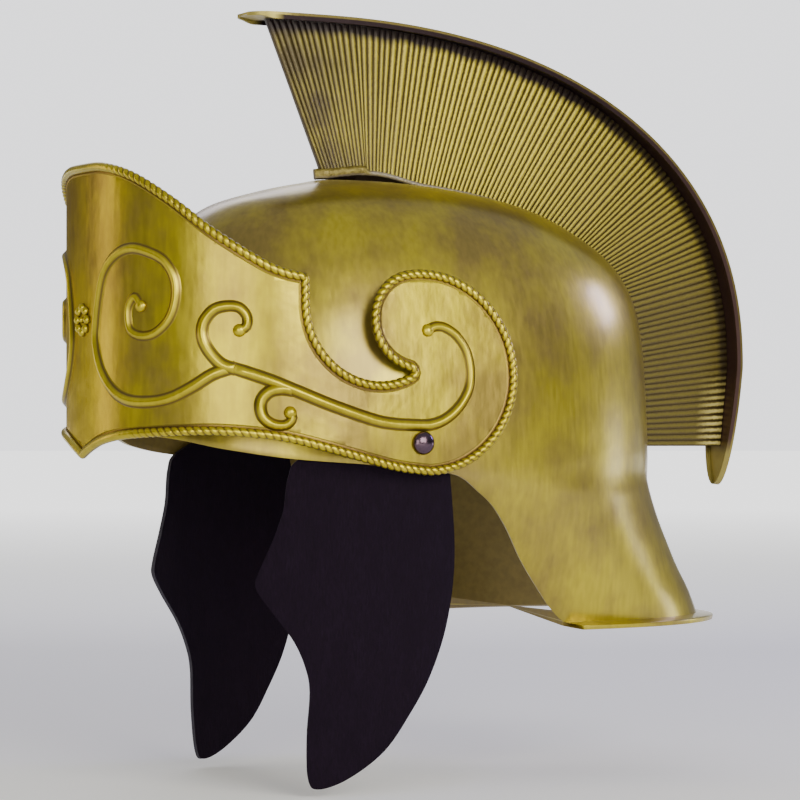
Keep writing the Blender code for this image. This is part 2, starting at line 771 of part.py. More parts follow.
def make_visor(gold, band):
    """The brow band with its volutes, rope edge, scrolls and rosette."""
    left = turn_path(half_outline(band), EDGE_TURN, EDGE_LONGEST)
    right = [(-along, height) for along, height in reversed(left[1:-1])]
    outline = left + right
    count = math.ceil((band.volute + VOLUTE_RADIUS) / BEND_STRIP)
    across_cuts = [BEND_STRIP * k for k in range(-count, count + 1)]
    up_cuts = [PIVOT_Z + VOLUTE_RISE * share for share in BEND_LEVELS]
    builder = sheet_from_outline(outline, across_cuts, up_cuts)
    for vertex in builder.verts:
        vertex.co = band.place(vertex.co.x, vertex.co.y, 0.0)
    visor = new_object("visor", builder, gold)
    middle_face = min(visor.data.polygons, key=lambda face: face.center.y)
    if middle_face.normal.y > 0:
        visor.data.flip_normals()
    wall = visor.modifiers.new("wall", "SOLIDIFY")
    wall.thickness = VISOR_WALL
    wall.offset = -1.0
    wall.use_even_offset = True

    relief = bmesh.new()
    ridge(relief, band, [(*point, ROPE_RADIUS, ROPE_RADIUS) for point in outline], rope_section(), True)
    for side in (1.0, -1.0):
        for knots, start_width, end_width in ((FRONT_SCROLL, THIN_END, 1.0), (MIDDLE_SCROLL, THIN_END, 1.0),
                                              (LOWER_SCROLL, 1.0, THIN_END), (EAR_SCROLL, 1.0, THIN_END)):
            path = scroll_path(band, knots, start_width, end_width)
            ridge(relief, band, path, ridge_section(), False, side)
            tip = path[0] if start_width < end_width else path[-1]
            knob(relief, band, tip[0], tip[1], KNOB_RADIUS, side)
    rosette_z = HEM_Z + ROSETTE_HEIGHT * BAND_RISE
    knob(relief, band, 0.0, rosette_z, PETAL_RADIUS, 1.0)
    for k in range(PETALS):
        angle = FULL_TURN * k / PETALS
        knob(relief, band, ROSETTE_RADIUS * math.cos(angle), rosette_z + ROSETTE_RADIUS * math.sin(angle),
             PETAL_RADIUS, 1.0)
    boolean(visor, guide(new_object("visor_relief", relief, gold)), "UNION", self_overlap=True)
    boolean(visor, cross_cylinder("visor_bore", RIVET_SHANK_RADIUS + SEAT_GAP, gold), "DIFFERENCE")
    shade(visor, 35)
    return visor


def make_rivet(name, side, chrome, band):
    """A domed rivet through the visor, the bowl and the flap, with its flat back inside."""
    seat = band.place(band.pivot, PIVOT_Z, 0.0).x + SEAT_GAP
    back = flap_face(PIVOT_Y - RIVET_BACK_RADIUS, PIVOT_Z) - FLAP_THICKNESS - 2 * SEAT_GAP
    profile = [(seat + RIVET_HEAD_HEIGHT * math.sin(angle), RIVET_HEAD_RADIUS * math.cos(angle))
               for angle in (math.radians(step) for step in RIVET_HEAD_ANGLES)]
    profile += [(seat, RIVET_HEAD_RADIUS * RIVET_HEAD_TAPER), (seat, RIVET_SHANK_RADIUS),
                (back, RIVET_SHANK_RADIUS), (back, RIVET_BACK_RADIUS),
                (back - RIVET_BACK_THICKNESS, RIVET_BACK_RADIUS * RIVET_BACK_TAPER)]
    builder = bmesh.new()
    loft(builder, [pivot_ring(side * x, radius) for x, radius in profile])
    rivet = new_object(name, builder, chrome)
    shade(rivet, 50)
    return rivet


def crest_curve():
    """The crest's top line in the side view, from the front tip back and down to the neck."""
    top = CREST_HEIGHT
    waist = -CREST_WAIST
    level_end = -CREST_LEVEL_END
    line = [(-CREST_FRONT_TIP, top), ((-CREST_FRONT_TIP + level_end) / 2, top)]
    power = 2.0 / CREST_SQUARENESS
    for k in range(CREST_STEPS + 1):
        angle = 0.25 * FULL_TURN * (1 - k / CREST_STEPS)
        line.append((level_end + (CREST_REAR - level_end) * abs(math.cos(angle)) ** power if k else level_end,
                     waist + (top - waist) * abs(math.sin(angle)) ** power if k < CREST_STEPS else waist))
    line.append((CREST_REAR - CREST_TUCK / 2, -(CREST_WAIST + CREST_BOTTOM) / 2))
    line.append((CREST_REAR - CREST_TUCK, -CREST_BOTTOM))
    return line


def bowl_back_line():
    """The bowl's middle line in the side view, from ahead of the crown back and down to the crest's end."""
    rows = bowl_rows()
    crown = (-CROWN_AHEAD, CROWN_TOP)
    ahead = [(front, height) for height, front, _, _ in rows[:2]]
    behind = [(rear, height) for height, _, rear, _ in rows if height > -CREST_BOTTOM]
    last = next((rear, height) for height, _, rear, _ in rows if height <= -CREST_BOTTOM)
    share = (behind[-1][1] + CREST_BOTTOM) / (behind[-1][1] - last[1])
    end = (behind[-1][0] + (last[0] - behind[-1][0]) * share, -CREST_BOTTOM)
    return cut_path([ahead[1], ahead[0], crown] + behind + [end], -CREST_FRONT_FOOT - FOOT_TOE)


def foot_lines():
    """The underside and the top of the crest's foot in the side view."""
    line = split_path(bowl_back_line(), FOOT_STEP)
    under = []
    over = []
    for y, _ in line:
        ahead = y + CREST_FRONT_FOOT + FOOT_TOE
        lift = math.sin(math.pi * min(max((ahead - FOOT_TOE) / FOOT_LIFT_LENGTH, 0.0), 1.0))
        under.append(SEAT_GAP + FOOT_LIFT * lift)
    count = len(line) - 1
    for index, (y, _) in enumerate(line):
        ahead = y + CREST_FRONT_FOOT + FOOT_TOE
        block = min(1.0, max(0.0, (FOOT_BLOCK_LENGTH - ahead) / FOOT_TOE))
        thickness = FOOT_STRIP + (FOOT_TAIL - FOOT_STRIP) * index / count
        over.append(max(thickness, FOOT_BLOCK * block) + under[index])
    return offset_path(line, under), offset_path(line, over)


def make_foot(gold):
    """The block and strip under the crest, following the bowl."""
    under, over = foot_lines()
    builder = bmesh.new()
    half = FOOT_HALF_WIDTH
    rings = [[(-half, *low), (half, *low), (half, *high), (-half, *high)] for low, high in zip(under, over)]
    loft(builder, rings)
    foot = new_object("crest_foot", builder, gold)
    shade(foot, 40)
    return foot


def make_comb(gold):
    """The fluted plate, each rib running from the foot to the cap."""
    _, over = foot_lines()
    base = cut_path(offset_path(over, SEAT_GAP), -CREST_FRONT_FOOT)
    outer = offset_path(crest_curve(), -(CAP_THICKNESS + SEAT_GAP))
    stations = 2 * RIB_COUNT
    shares = [index / stations for index in range(stations + 1)]
    tops = share_points(outer, shares)
    feet = share_points(base, [table_value(RIB_SPREAD, share) for share in shares])
    builder = bmesh.new()
    rings = []
    for index, (low, high) in enumerate(zip(feet, tops)):
        half = VALLEY_HALF if index % 2 else RIB_HALF
        rings.append([(-half, *low), (half, *low), (half, *high), (-half, *high)])
    loft(builder, rings)
    comb = new_object("crest_comb", builder, gold)
    shade(comb, 20)
    return comb


def cap_stations():
    """Places along the cap with its half width at each: a round tongue ahead and a long one at the neck."""
    line = even_path(crest_curve(), CAP_STEP)
    tongue = CAP_HALF_WIDTH
    stations = []
    for share in TONGUE_SHARES:
        stations.append(((line[0][0] - tongue * (1 - share), line[0][1]),
                         CAP_HALF_WIDTH * math.sqrt(1 - (1 - share) ** 2)))
    bottom = -CREST_BOTTOM - CAP_TAIL
    tail = [(CREST_REAR - CREST_TUCK - CAP_CURL * share, -CREST_BOTTOM - CAP_TAIL * share)
            for share in TAIL_SHARES]
    for point in line + tail:
        down = max(0.0, 1.0 - (point[1] - bottom) / CAP_TONGUE_REAR) if point[0] > 0 else 0.0
        stations.append((point, CAP_HALF_WIDTH * max(math.sqrt(1 - down ** 2), CAP_LEAST_SHARE)))
    return stations


def make_cap(gold):
    """The band over the comb, with a small lip down each side."""
    stations = cap_stations()
    line = [point for point, _ in stations]
    under = offset_path(line, -CAP_THICKNESS)
    lips = offset_path(line, -CAP_THICKNESS - CAP_LIP)
    builder = bmesh.new()
    rings = []
    for (top, half), low, lip in zip(stations, under, lips):
        inside = max(half - CAP_LIP_WIDTH, half * CAP_LIP_SHARE)
        rings.append([(-half, *lip), (-inside, *lip), (-inside, *low), (inside, *low), (inside, *lip),
                      (half, *lip), (half, *top), (-half, *top)])
    loft(builder, rings)
    cap = new_object("crest_cap", builder, gold)
    shade(cap, 40)
    return cap


def flap_face(y, z):
    """How far out the flap's outer face lies: along the bowl's inside, then hanging in toward the cheek."""
    half_length = BOWL_HALF_LENGTH - BOWL_WALL
    share = max(0.0, 1.0 - abs(y / half_length) ** BOWL_SQUARENESS)
    wall = (BOWL_HALF_WIDTH - BOWL_WALL) * share ** (1.0 / BOWL_SQUARENESS) - FLAP_GAP
    up = max(0.0, z - DOME_FOOT) / DOME_HEIGHT
    hang = max(0.0, DOME_FOOT - z) / FLAP_LENGTH
    return wall - FLAP_DOME_TURN * BOWL_HALF_WIDTH * up ** 2 - FLAP_INWARD * hang ** FLAP_HANG_POWER


def make_flap(name, side, cloth):
    """A soft cheek flap, held by the rivet inside the bowl."""
    rear = PIVOT_Y + FLAP_REAR * FLAP_WIDTH
    rim = DOME_FOOT - FLAP_RIM * DOME_HEIGHT
    knots = [(rear - knot.along * FLAP_WIDTH, rim - knot.height * FLAP_LENGTH) for knot in FLAP_KNOTS]
    tuck = [(rear - knot.along * FLAP_WIDTH, rim + knot.height * FLAP_TUCK) for knot in TUCK_KNOTS]
    outline = turn_path(smooth_path(knots + tuck + knots[:1], EDGE_STEPS), FLAP_TURN, FLAP_STEP)[:-1]
    cuts = []
    for axis in (0, 1):
        low = min(point[axis] for point in outline)
        high = max(point[axis] for point in outline)
        cuts.append([low + FLAP_STEP * k for k in range(1, int((high - low) / FLAP_STEP) + 1)])
    builder = sheet_from_outline(outline, *cuts)
    for vertex in builder.verts:
        y, z = vertex.co.x, vertex.co.y
        vertex.co = (side * flap_face(y, z), y, z)
    flap = new_object(name, builder, cloth)
    if flap.data.polygons[0].normal.x * side < 0:
        flap.data.flip_normals()
    wall = flap.modifiers.new("wall", "SOLIDIFY")
    wall.thickness = FLAP_THICKNESS
    wall.offset = -1.0
    wall.use_even_offset = True
    boolean(flap, cross_cylinder(name + "_bore", RIVET_SHANK_RADIUS + SEAT_GAP, cloth), "DIFFERENCE")
    shade(flap, 40)
    return flap


def build():
    """Build round the middle of the bowl, then move it all so that the crown's inside is at the origin."""
    for item in list(bpy.data.objects):
        bpy.data.objects.remove(item, do_unlink=True)
    band = Band()
    bowl_gold = finish_material("bowl_gold", (0.46, 0.36, 0.08), 0.36, 0.65)
    visor_gold = finish_material("visor_gold", (0.50, 0.40, 0.10), 0.36, 0.65)
    comb_gold = finish_material("comb_gold", (0.44, 0.33, 0.08), 0.42, 0.55)
    cap_gold = finish_material("cap_gold", (0.40, 0.30, 0.09), 0.38, 0.6)
    foot_gold = finish_material("foot_gold", (0.40, 0.31, 0.12), 0.4, 0.6)
    make_bowl(bowl_gold)
    make_visor(visor_gold, band)
    make_foot(foot_gold)
    make_comb(comb_gold)
    make_cap(cap_gold)
    for word, side in (("left", 1.0), ("right", -1.0)):
        chrome = finish_material("rivet_chrome_" + word, (0.62, 0.60, 0.62), 0.14, 1.0)
        cloth = finish_material("flap_cloth_" + word, (0.022, 0.018, 0.032), 0.85, 0.0)
        make_rivet("rivet_" + word, side, chrome, band)
        make_flap("cheek_flap_" + word, side, cloth)
    for item in bpy.data.objects:
        item.data.transform(Matrix.Translation((0.0, CROWN_AHEAD, 0.0)))


build()
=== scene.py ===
"""Roman officer's costume helmet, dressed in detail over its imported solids.

Metres, +Z up, in the frame of the solids: the helmet faces -Y and the wearer's left is +X. Shapes are worked
out round the middle of the bowl, and each mesh is then moved so that the crown's inside is at the origin.
"""

import bisect
import logging
import math
import random
from dataclasses import dataclass
from enum import Enum
from typing import Callable, Optional, Sequence

import bmesh
import bpy
from bpy.types import Material, Node, NodeSocket, Object
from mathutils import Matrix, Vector, noise


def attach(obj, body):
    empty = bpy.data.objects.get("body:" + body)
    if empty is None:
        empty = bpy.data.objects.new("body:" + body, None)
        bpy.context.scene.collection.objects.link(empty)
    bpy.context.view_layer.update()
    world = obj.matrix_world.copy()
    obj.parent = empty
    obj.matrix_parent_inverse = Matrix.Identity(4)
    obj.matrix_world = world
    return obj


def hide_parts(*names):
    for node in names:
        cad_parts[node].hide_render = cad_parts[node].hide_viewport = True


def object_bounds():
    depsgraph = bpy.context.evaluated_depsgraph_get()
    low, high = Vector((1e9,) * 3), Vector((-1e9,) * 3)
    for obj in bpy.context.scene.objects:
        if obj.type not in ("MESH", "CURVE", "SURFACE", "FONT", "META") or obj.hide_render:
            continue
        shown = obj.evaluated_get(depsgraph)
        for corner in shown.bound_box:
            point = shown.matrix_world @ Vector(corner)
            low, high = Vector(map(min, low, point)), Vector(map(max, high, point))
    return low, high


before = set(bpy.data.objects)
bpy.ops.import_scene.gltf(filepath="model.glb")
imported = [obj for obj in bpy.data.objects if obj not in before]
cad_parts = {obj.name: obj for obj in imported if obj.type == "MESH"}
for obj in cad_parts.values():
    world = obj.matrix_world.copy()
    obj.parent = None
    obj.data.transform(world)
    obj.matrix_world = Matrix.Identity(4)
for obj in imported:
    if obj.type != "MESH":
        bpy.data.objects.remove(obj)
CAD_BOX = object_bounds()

LOG = logging.getLogger("helmet")

Point = tuple[float, ...]
Place = Callable[[int, int], Vector]
Tint = Callable[[int, int], Point]
Section = Callable[[int, int], tuple[float, float]]

FULL_TURN = 2.0 * math.pi
QUARTER_TURN = 0.5 * math.pi
TINY = 1e-9
MERGE = 0.00002
TINT_LAYER = "finish"
NO_TINT = (0.0, 0.0, 0.0)
NOISE_LOW = 0.3
NOISE_HIGH = 0.7
CROWN_AHEAD = 0.0314
SEAT_GAP = 0.0003
HEAD_MIDDLE = Vector((0.0, 0.0, -0.13))


class Side(Enum):
    """The helmet's two sides, as its wearer has them."""

    LEFT = 1.0
    RIGHT = -1.0

    @property
    def word(self) -> str:
        """The side's name as the pieces use it."""
        return self.name.lower()


class Body(Enum):
    """The two bodies that a piece may ride on."""

    HELMET = "helmet"
    VISOR = "visor"


def smooth_value(values: Sequence[float], t: float) -> float:
    """Give a smooth curve's value a share of the way between the middle two of four values.

    Args:
        values: Four values in a row.
        t: The share of the way.

    Returns:
        The curve's value there.
    """
    a, b, c, d = values
    linear = (c - a) * t
    square = (2 * a - 5 * b + 4 * c - d) * t ** 2
    return 0.5 * (2 * b + linear + square + (3 * b - a - 3 * c + d) * t ** 3)


def smooth_step(low: float, high: float, value: float) -> float:
    """Give a soft step from 0 at one value to 1 at another.

    Args:
        low: Where the step starts.
        high: Where it ends.
        value: The value to judge.

    Returns:
        The step's height, from 0 to 1.
    """
    share = min(1.0, max(0.0, (value - low) / (high - low)))
    return share * share * (3.0 - 2.0 * share)


def part_way(start: Point, end: Point, share: float) -> Point:
    """Find the point a share of the way from one point to another."""
    return tuple(a + (b - a) * share for a, b in zip(start, end))


def signed_power(value: float, power: float) -> float:
    """Raise the size of a value to a power and keep its sign."""
    return math.copysign(abs(value) ** power, value)


class Path:
    """A line of points, measured along its length."""

    def __init__(self, points: Sequence[Point]) -> None:
        """Measure how far along the line each point lies.

        Args:
            points: The line's points in order.
        """
        self.points = [tuple(point) for point in points]
        self.lengths = [0.0]
        for start, end in zip(self.points, self.points[1:]):
            self.lengths.append(self.lengths[-1] + math.dist(start, end))

    @classmethod
    def smooth(cls, points: Sequence[Point], steps: int, before: Optional[Point] = None) -> "Path":
        """Draw a smooth curve through points.

        Args:
            points: The points that the curve meets.
            steps: How many steps lie between each two.
            before: A point ahead of the first that steers the curve's start.

        Returns:
            The curve.
        """
        given = [before or points[0], *points, points[-1]]
        made: list[Point] = []
        for index in range(1, len(given) - 2):
            around = given[index - 1:index + 3]
            for step in range(steps):
                made.append(tuple(smooth_value(values, step / steps) for values in zip(*around)))
        made.append(tuple(points[-1]))
        return cls(made)

    @property
    def total(self) -> float:
        """The line's whole length."""
        return self.lengths[-1]

    def at(self, distance: float) -> Point:
        """Find the point at a distance along the line.

        Args:
            distance: How far along, kept within the line.

        Returns:
            The point there.
        """
        index = min(max(bisect.bisect_left(self.lengths, distance), 1), len(self.lengths) - 1)
        low, high = self.lengths[index - 1], self.lengths[index]
        share = min(1.0, max(0.0, (distance - low) / max(high - low, TINY)))
        return part_way(self.points[index - 1], self.points[index], share)

    def even(self, spacing: float) -> "Path":
        """Space the line's points evenly, near the spacing given."""
        count = max(1, round(self.total / spacing))
        return Path([self.at(self.total * index / count) for index in range(count + 1)])

    def offset(self, distance: float | Sequence[float]) -> "Path":
        """Move a side-view line to its left.

        Args:
            distance: How far, as one value or one for each point.

        Returns:
            The moved line.
        """
        moved = []
        last = len(self.points) - 1
        for index, (y, z) in enumerate(self.points):
            before = self.points[max(index - 1, 0)]
            after = self.points[min(index + 1, last)]
            length = math.dist(before, after)
            step = distance if isinstance(distance, float) else distance[index]
            moved.append((y - step * (after[1] - before[1]) / length,
                          z + step * (after[0] - before[0]) / length))
        return Path(moved)

    def behind(self, start: float) -> "Path":
        """Keep the part of a side-view line that lies behind a place, beginning exactly there.

        Args:
            start: The place.

        Returns:
            The part.
        """
        kept = [point for point in self.points if point[0] > start]
        last = [point for point in self.points if point[0] <= start][-1]
        share = (start - last[0]) / (kept[0][0] - last[0])
        return Path([(start, last[1] + (kept[0][1] - last[1]) * share)] + kept)


def table_value(rows: Sequence[Point], value: float) -> float:
    """Read the second column of a table at a value of its first, by straight lines.

    Args:
        rows: Pairs of values, the first rising.
        value: Where to read.

    Returns:
        The value found.
    """
    for low, high in zip(rows, rows[1:]):
        if value <= high[0] + TINY:
            return low[1] + (high[1] - low[1]) * (value - low[0]) / (high[0] - low[0])
    return rows[-1][1]


def mapped_grid(columns: int, rows: int, place: Place, tint: Optional[Tint] = None) -> bmesh.types.BMesh:
    """Lay a grid over a surface.

    Args:
        columns: Steps along the grid.
        rows: Steps across it.
        place: Gives the point for a column and a row.
        tint: Gives three values for the finish at a column and a row.

    Returns:
        The grid, with its doubles merged.
    """
    builder = bmesh.new()
    bmesh.ops.create_grid(builder, x_segments=columns, y_segments=rows, size=0.5)
    layer = builder.verts.layers.float_color.new(TINT_LAYER)
    for vertex in builder.verts:
        column = round((vertex.co.x + 0.5) * columns)
        row = round((vertex.co.y + 0.5) * rows)
        vertex.co = place(column, row)
        vertex[layer] = (*(tint(column, row) if tint else NO_TINT), 1.0)
    bmesh.ops.remove_doubles(builder, verts=builder.verts, dist=MERGE)
    return builder


def close_ends(builder: bmesh.types.BMesh) -> None:
    """Close the open ends of a tube."""
    rim = [edge for edge in builder.edges if edge.is_boundary]
    bmesh.ops.holes_fill(builder, edges=rim, sides=0)


def flat_sheet(outline: Sequence[Point], along_step: float, up_step: float) -> bmesh.types.BMesh:
    """Cut a flat sheet to an outline and score it into a grid, so that it can be bent.

    Args:
        outline: The sheet's edge.
        along_step: The spacing of the cuts across the sheet.
        up_step: The spacing of the cuts along it.

    Returns:
        The sheet.
    """
    builder = bmesh.new()
    bmesh.ops.create_circle(builder, cap_ends=True, segments=len(outline), radius=1.0)
    for vertex, point in zip(builder.verts, outline):
        vertex.co = (*point, 0.0)
    for axis, spacing in ((0, along_step), (1, up_step)):
        normal = Vector((1.0, 0.0, 0.0)) if axis == 0 else Vector((0.0, 1.0, 0.0))
        low = min(point[axis] for point in outline)
        high = max(point[axis] for point in outline)
        for index in range(math.ceil(low / spacing), math.ceil(high / spacing)):
            everything = builder.verts[:] + builder.edges[:] + builder.faces[:]
            bmesh.ops.bisect_plane(builder, geom=everything, plane_co=normal * spacing * index,
                                   plane_no=normal)
    bmesh.ops.remove_doubles(builder, verts=builder.verts, dist=MERGE)
    many_sided = [face for face in builder.faces if len(face.verts) > 4]
    bmesh.ops.triangulate(builder, faces=many_sided)
    return builder


def add_piece(name: str, builder: bmesh.types.BMesh, materials: Sequence[Material], body: Body,
              smooth_angle: float = 40.0, is_sheet: bool = False) -> Object:
    """Turn a finished shape into a piece of the helmet.

    Args:
        name: The piece's name.
        builder: Its shape, round the middle of the bowl.
        materials: Its materials.
        body: The body it rides on.
        smooth_angle: The sharpest bend, in degrees, that is shaded smooth.
        is_sheet: Whether the shape is an open sheet that gets its wall later.

    Returns:
        The piece.
    """
    bmesh.ops.recalc_face_normals(builder, faces=builder.faces)
    if is_sheet:
        point_outward(builder)
    bmesh.ops.translate(builder, verts=builder.verts, vec=(0.0, CROWN_AHEAD, 0.0))
    mesh = bpy.data.meshes.new(name)
    builder.to_mesh(mesh)
    builder.free()
    for material in materials:
        mesh.materials.append(material)
    mesh.shade_smooth()
    mesh.set_sharp_from_angle(angle=math.radians(smooth_angle))
    piece = bpy.data.objects.new(name, mesh)
    bpy.context.scene.collection.objects.link(piece)
    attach(piece, body.value)
    LOG.info("%s: %d faces on %s", name, len(mesh.polygons), body.value)
    return piece


def add_wall(piece: Object, thickness: float, inside_offset: int = 0, rim_offset: int = 0) -> None:
    """Give a sheet a wall that grows inward.

    Args:
        piece: The sheet, its faces pointing outward.
        thickness: The wall's thickness.
        inside_offset: How many material slots on the inside's material lies.
        rim_offset: How many material slots on the cut edge's material lies.
    """
    wall = piece.modifiers.new("wall", "SOLIDIFY")
    wall.thickness = thickness
    wall.offset = -1.0
    wall.use_even_offset = True
    wall.material_offset = inside_offset
    wall.material_offset_rim = rim_offset


def soften_edges(piece: Object, width: float, segments: int = 2, angle: float = 50.0) -> None:
    """Round a piece's sharp edges.

    Args:
        piece: The piece.
        width: The rounding's width.
        segments: How many faces it takes.
        angle: The bend, in degrees, from which an edge counts as sharp.
    """
    bevel = piece.modifiers.new("soft_edges", "BEVEL")
    bevel.width = width
    bevel.segments = segments
    bevel.limit_method = "ANGLE"
    bevel.angle_limit = math.radians(angle)


def point_outward(builder: bmesh.types.BMesh) -> None:
    """Turn an open sheet's faces away from the middle of the head.

    Args:
        builder: The sheet.
    """
    facing = sum((face.calc_center_median() - HEAD_MIDDLE).dot(face.normal) * face.calc_area()
                 for face in builder.faces)
    if facing < 0.0:
        bmesh.ops.reverse_faces(builder, faces=builder.faces)


class NodeBoard:
    """A material's nodes, laid and joined by short calls."""

    def __init__(self, name: str) -> None:
        """Start a material with its Principled shader.

        Args:
            name: The material's name.
        """
        self.material = bpy.data.materials.new(name)
        self.material.use_nodes = True
        self.nodes = self.material.node_tree.nodes
        self.links = self.material.node_tree.links
        self.shader = self.nodes["Principled BSDF"]
        self.coordinates = self.add("ShaderNodeTexCoord").outputs["Object"]

    def add(self, kind: str, **settings: object) -> Node:
        """Add a node and set its properties.

        Args:
            kind: The node's type.
            **settings: The properties by name.

        Returns:
            The node.
        """
        node = self.nodes.new(kind)
        for name, value in settings.items():
            setattr(node, name, value)
        return node

    def join(self, source: NodeSocket | float | Point, target: NodeSocket) -> None:
        """Feed a socket from another socket or with a constant.

        Args:
            source: The other socket or the constant.
            target: The socket to feed.
        """
        if isinstance(source, NodeSocket):
            self.links.new(source, target)
        else:
            target.default_value = source

    def set(self, **values: float | Point) -> None:
        """Set constants on the shader.

        Args:
            **values: The constants, a socket's name written with underscores.
        """
        for name, value in values.items():
            words = name.replace("_", " ")
            socket = next(item for item in self.shader.inputs if item.name.lower() == words)
            socket.default_value = value

    def grain(self, scale: float | Point, detail: float = 3.0, roughness: float = 0.5) -> NodeSocket:
        """Lay noise, with one scale or with its own in each direction.

        Args:
            scale: Repeats for each metre, in all directions or along X, Y and Z.
            detail: How many finer layers it has.
            roughness: How strong the finer layers are.

        Returns:
            The noise's value.
        """
        mapping = self.add("ShaderNodeMapping")
        mapping.inputs["Scale"].default_value = (scale,) * 3 if isinstance(scale, float) else scale
        self.links.new(self.coordinates, mapping.inputs["Vector"])
        made = self.add("ShaderNodeTexNoise")
        made.inputs["Scale"].default_value = 1.0
        made.inputs["Detail"].default_value = detail
        made.inputs["Roughness"].default_value = roughness
        self.links.new(mapping.outputs["Vector"], made.inputs["Vector"])
        return made.outputs["Fac"]

    def spread(self, value: NodeSocket, low: float, high: float, to_low: float = 0.0,
               to_high: float = 1.0) -> NodeSocket:
        """Stretch a range of values onto another, held at its ends.

        Args:
            value: The value to stretch.
            low: The start of its range.
            high: The end of its range.
            to_low: What the start becomes.
            to_high: What the end becomes.

        Returns:
            The stretched value.
        """
        node = self.add("ShaderNodeMapRange", clamp=True)
        self.links.new(value, node.inputs["Value"])
        for name, number in (("From Min", low), ("From Max", high), ("To Min", to_low), ("To Max", to_high)):
            node.inputs[name].default_value = number
        return node.outputs["Result"]

    def vary(self, grain: NodeSocket, to_low: float, to_high: float) -> NodeSocket:
        """Stretch the range that most of a noise lies in onto another."""
        return self.spread(grain, NOISE_LOW, NOISE_HIGH, to_low, to_high)

    def blend(self, share: NodeSocket | float, first: NodeSocket | Point, second: NodeSocket | Point,
              mode: str = "MIX") -> NodeSocket:
        """Mix two colours.

        Args:
            share: How much of the second there is.
            first: The first colour.
            second: The second colour.
            mode: How they mix.

        Returns:
            The mixed colour.
        """
        node = self.add("ShaderNodeMix", data_type="RGBA", blend_type=mode)
        self.join(share, node.inputs[0])
        for colour, socket in ((first, node.inputs[6]), (second, node.inputs[7])):
            self.join(colour if isinstance(colour, NodeSocket) else (*colour, 1.0), socket)
        return node.outputs[2]

    def compute(self, operation: str, first: NodeSocket | float, second: NodeSocket | float) -> NodeSocket:
        """Work out one value from two.

        Args:
            operation: The sum to do.
            first: The first value.
            second: The second value.

        Returns:
            The result.
        """
        node = self.add("ShaderNodeMath", operation=operation)
        self.join(first, node.inputs[0])
        self.join(second, node.inputs[1])
        return node.outputs[0]

    def tints(self) -> tuple[NodeSocket, NodeSocket, NodeSocket]:
        """Read the values that the mesh holds for its finish.

        Returns:
            The three values.
        """
        attribute = self.add("ShaderNodeAttribute", attribute_name=TINT_LAYER)
        split = self.add("ShaderNodeSeparateColor")
        self.links.new(attribute.outputs["Color"], split.inputs["Color"])
        return split.outputs[0], split.outputs[1], split.outputs[2]

    def bump(self, height: NodeSocket, depth: float) -> None:
        """Raise the surface.

        Args:
            height: The height, as a share of the depth.
            depth: The depth in metres.
        """
        node = self.add("ShaderNodeBump")
        node.inputs["Strength"].default_value = 1.0
        node.inputs["Distance"].default_value = depth
        self.links.new(height, node.inputs["Height"])
        self.links.new(node.outputs["Normal"], self.shader.inputs["Normal"])

    def colour(self, colour: NodeSocket) -> None:
        """Feed the shader's colour."""
        self.links.new(colour, self.shader.inputs["Base Color"])

    def gloss(self, roughness: NodeSocket) -> None:
        """Feed the shader's roughness."""
        self.links.new(roughness, self.shader.inputs["Roughness"])


@dataclass(frozen=True)
class SatinGold:
    """Gold paint, brushed on from top to bottom, with a satin varnish. Its first tint is painted shade in
    creases.
    """

    name: str
    light: Point = (0.490, 0.398, 0.022)
    dark: Point = (0.270, 0.198, 0.042)
    # painted shade for creases, grooves and the roots of raised work
    crease_shade: Point = (0.085, 0.046, 0.016)
    edge: Point = (1.0, 1.0, 1.0)
    coat: float = 0.40
    patch_scale: Point = (21.0, 21.0, 15.0)
    patch_edge: Point = (0.38, 0.62)
    patch_gloss: Point = (0.330, 0.295)
    brush_scale: Point = (420.0, 420.0, 70.0)
    brush_shade: Point = (0.90, 1.06)
    brush_gloss: Point = (-0.01, 0.02)
    brush_depth: float = 0.00004
    speck_scale: float = 700.0
    speck_share: float = 0.5
    dent_scale: float = 75.0
    dent_share: float = 5.0

    def make(self) -> Material:
        """Make the material.

        Returns:
            The material.
        """
        board = NodeBoard(self.name)
        board.set(metallic=0.82, coat_weight=self.coat, coat_roughness=0.20, specular_tint=(*self.edge, 1.0))
        patches = board.grain(self.patch_scale, detail=5.0, roughness=0.62)
        brush = board.grain(self.brush_scale, detail=1.0)
        specks = board.grain(self.speck_scale, detail=1.0)
        dents = board.grain(self.dent_scale, detail=2.0)
        colour = board.blend(board.spread(patches, *self.patch_edge), self.dark, self.light)
        streaks = board.vary(brush, *self.brush_shade)
        shade = board.add("ShaderNodeCombineColor")
        for socket in shade.inputs[:3]:
            board.join(streaks, socket)
        colour = board.blend(1.0, colour, shade.outputs[0], "MULTIPLY")
        # painted shade: the first tint darkens creases, grooves and roots
        crease_shade, _, _ = board.tints()
        board.colour(board.blend(crease_shade, colour, self.crease_shade))
        board.gloss(board.compute("ADD", board.vary(patches, *self.patch_gloss),
                                  board.vary(brush, *self.brush_gloss)))
        fine = board.compute("ADD", brush, board.compute("MULTIPLY", specks, self.speck_share))
        wide = board.compute("MULTIPLY", dents, self.dent_share)
        board.bump(board.compute("ADD", fine, wide), self.brush_depth)
        return board.material


@dataclass(frozen=True)
class PlainInside:
    """The plain inside of a moulding, dull and a little speckled."""

    name: str
    light: Point = (0.230, 0.170, 0.040)
    dark: Point = (0.185, 0.132, 0.030)
    speck_scale: float = 260.0
    speck_edge: Point = (0.35, 0.65)
    speck_gloss: Point = (0.50, 0.63)
    speck_depth: float = 0.00008

    def make(self) -> Material:
        """Make the material.

        Returns:
            The material.
        """
        board = NodeBoard(self.name)
        board.set(metallic=0.15)
        specks = board.grain(self.speck_scale, detail=4.0)
        board.colour(board.blend(board.spread(specks, *self.speck_edge), self.dark, self.light))
        board.gloss(board.vary(specks, *self.speck_gloss))
        board.bump(specks, self.speck_depth)
        return board.material


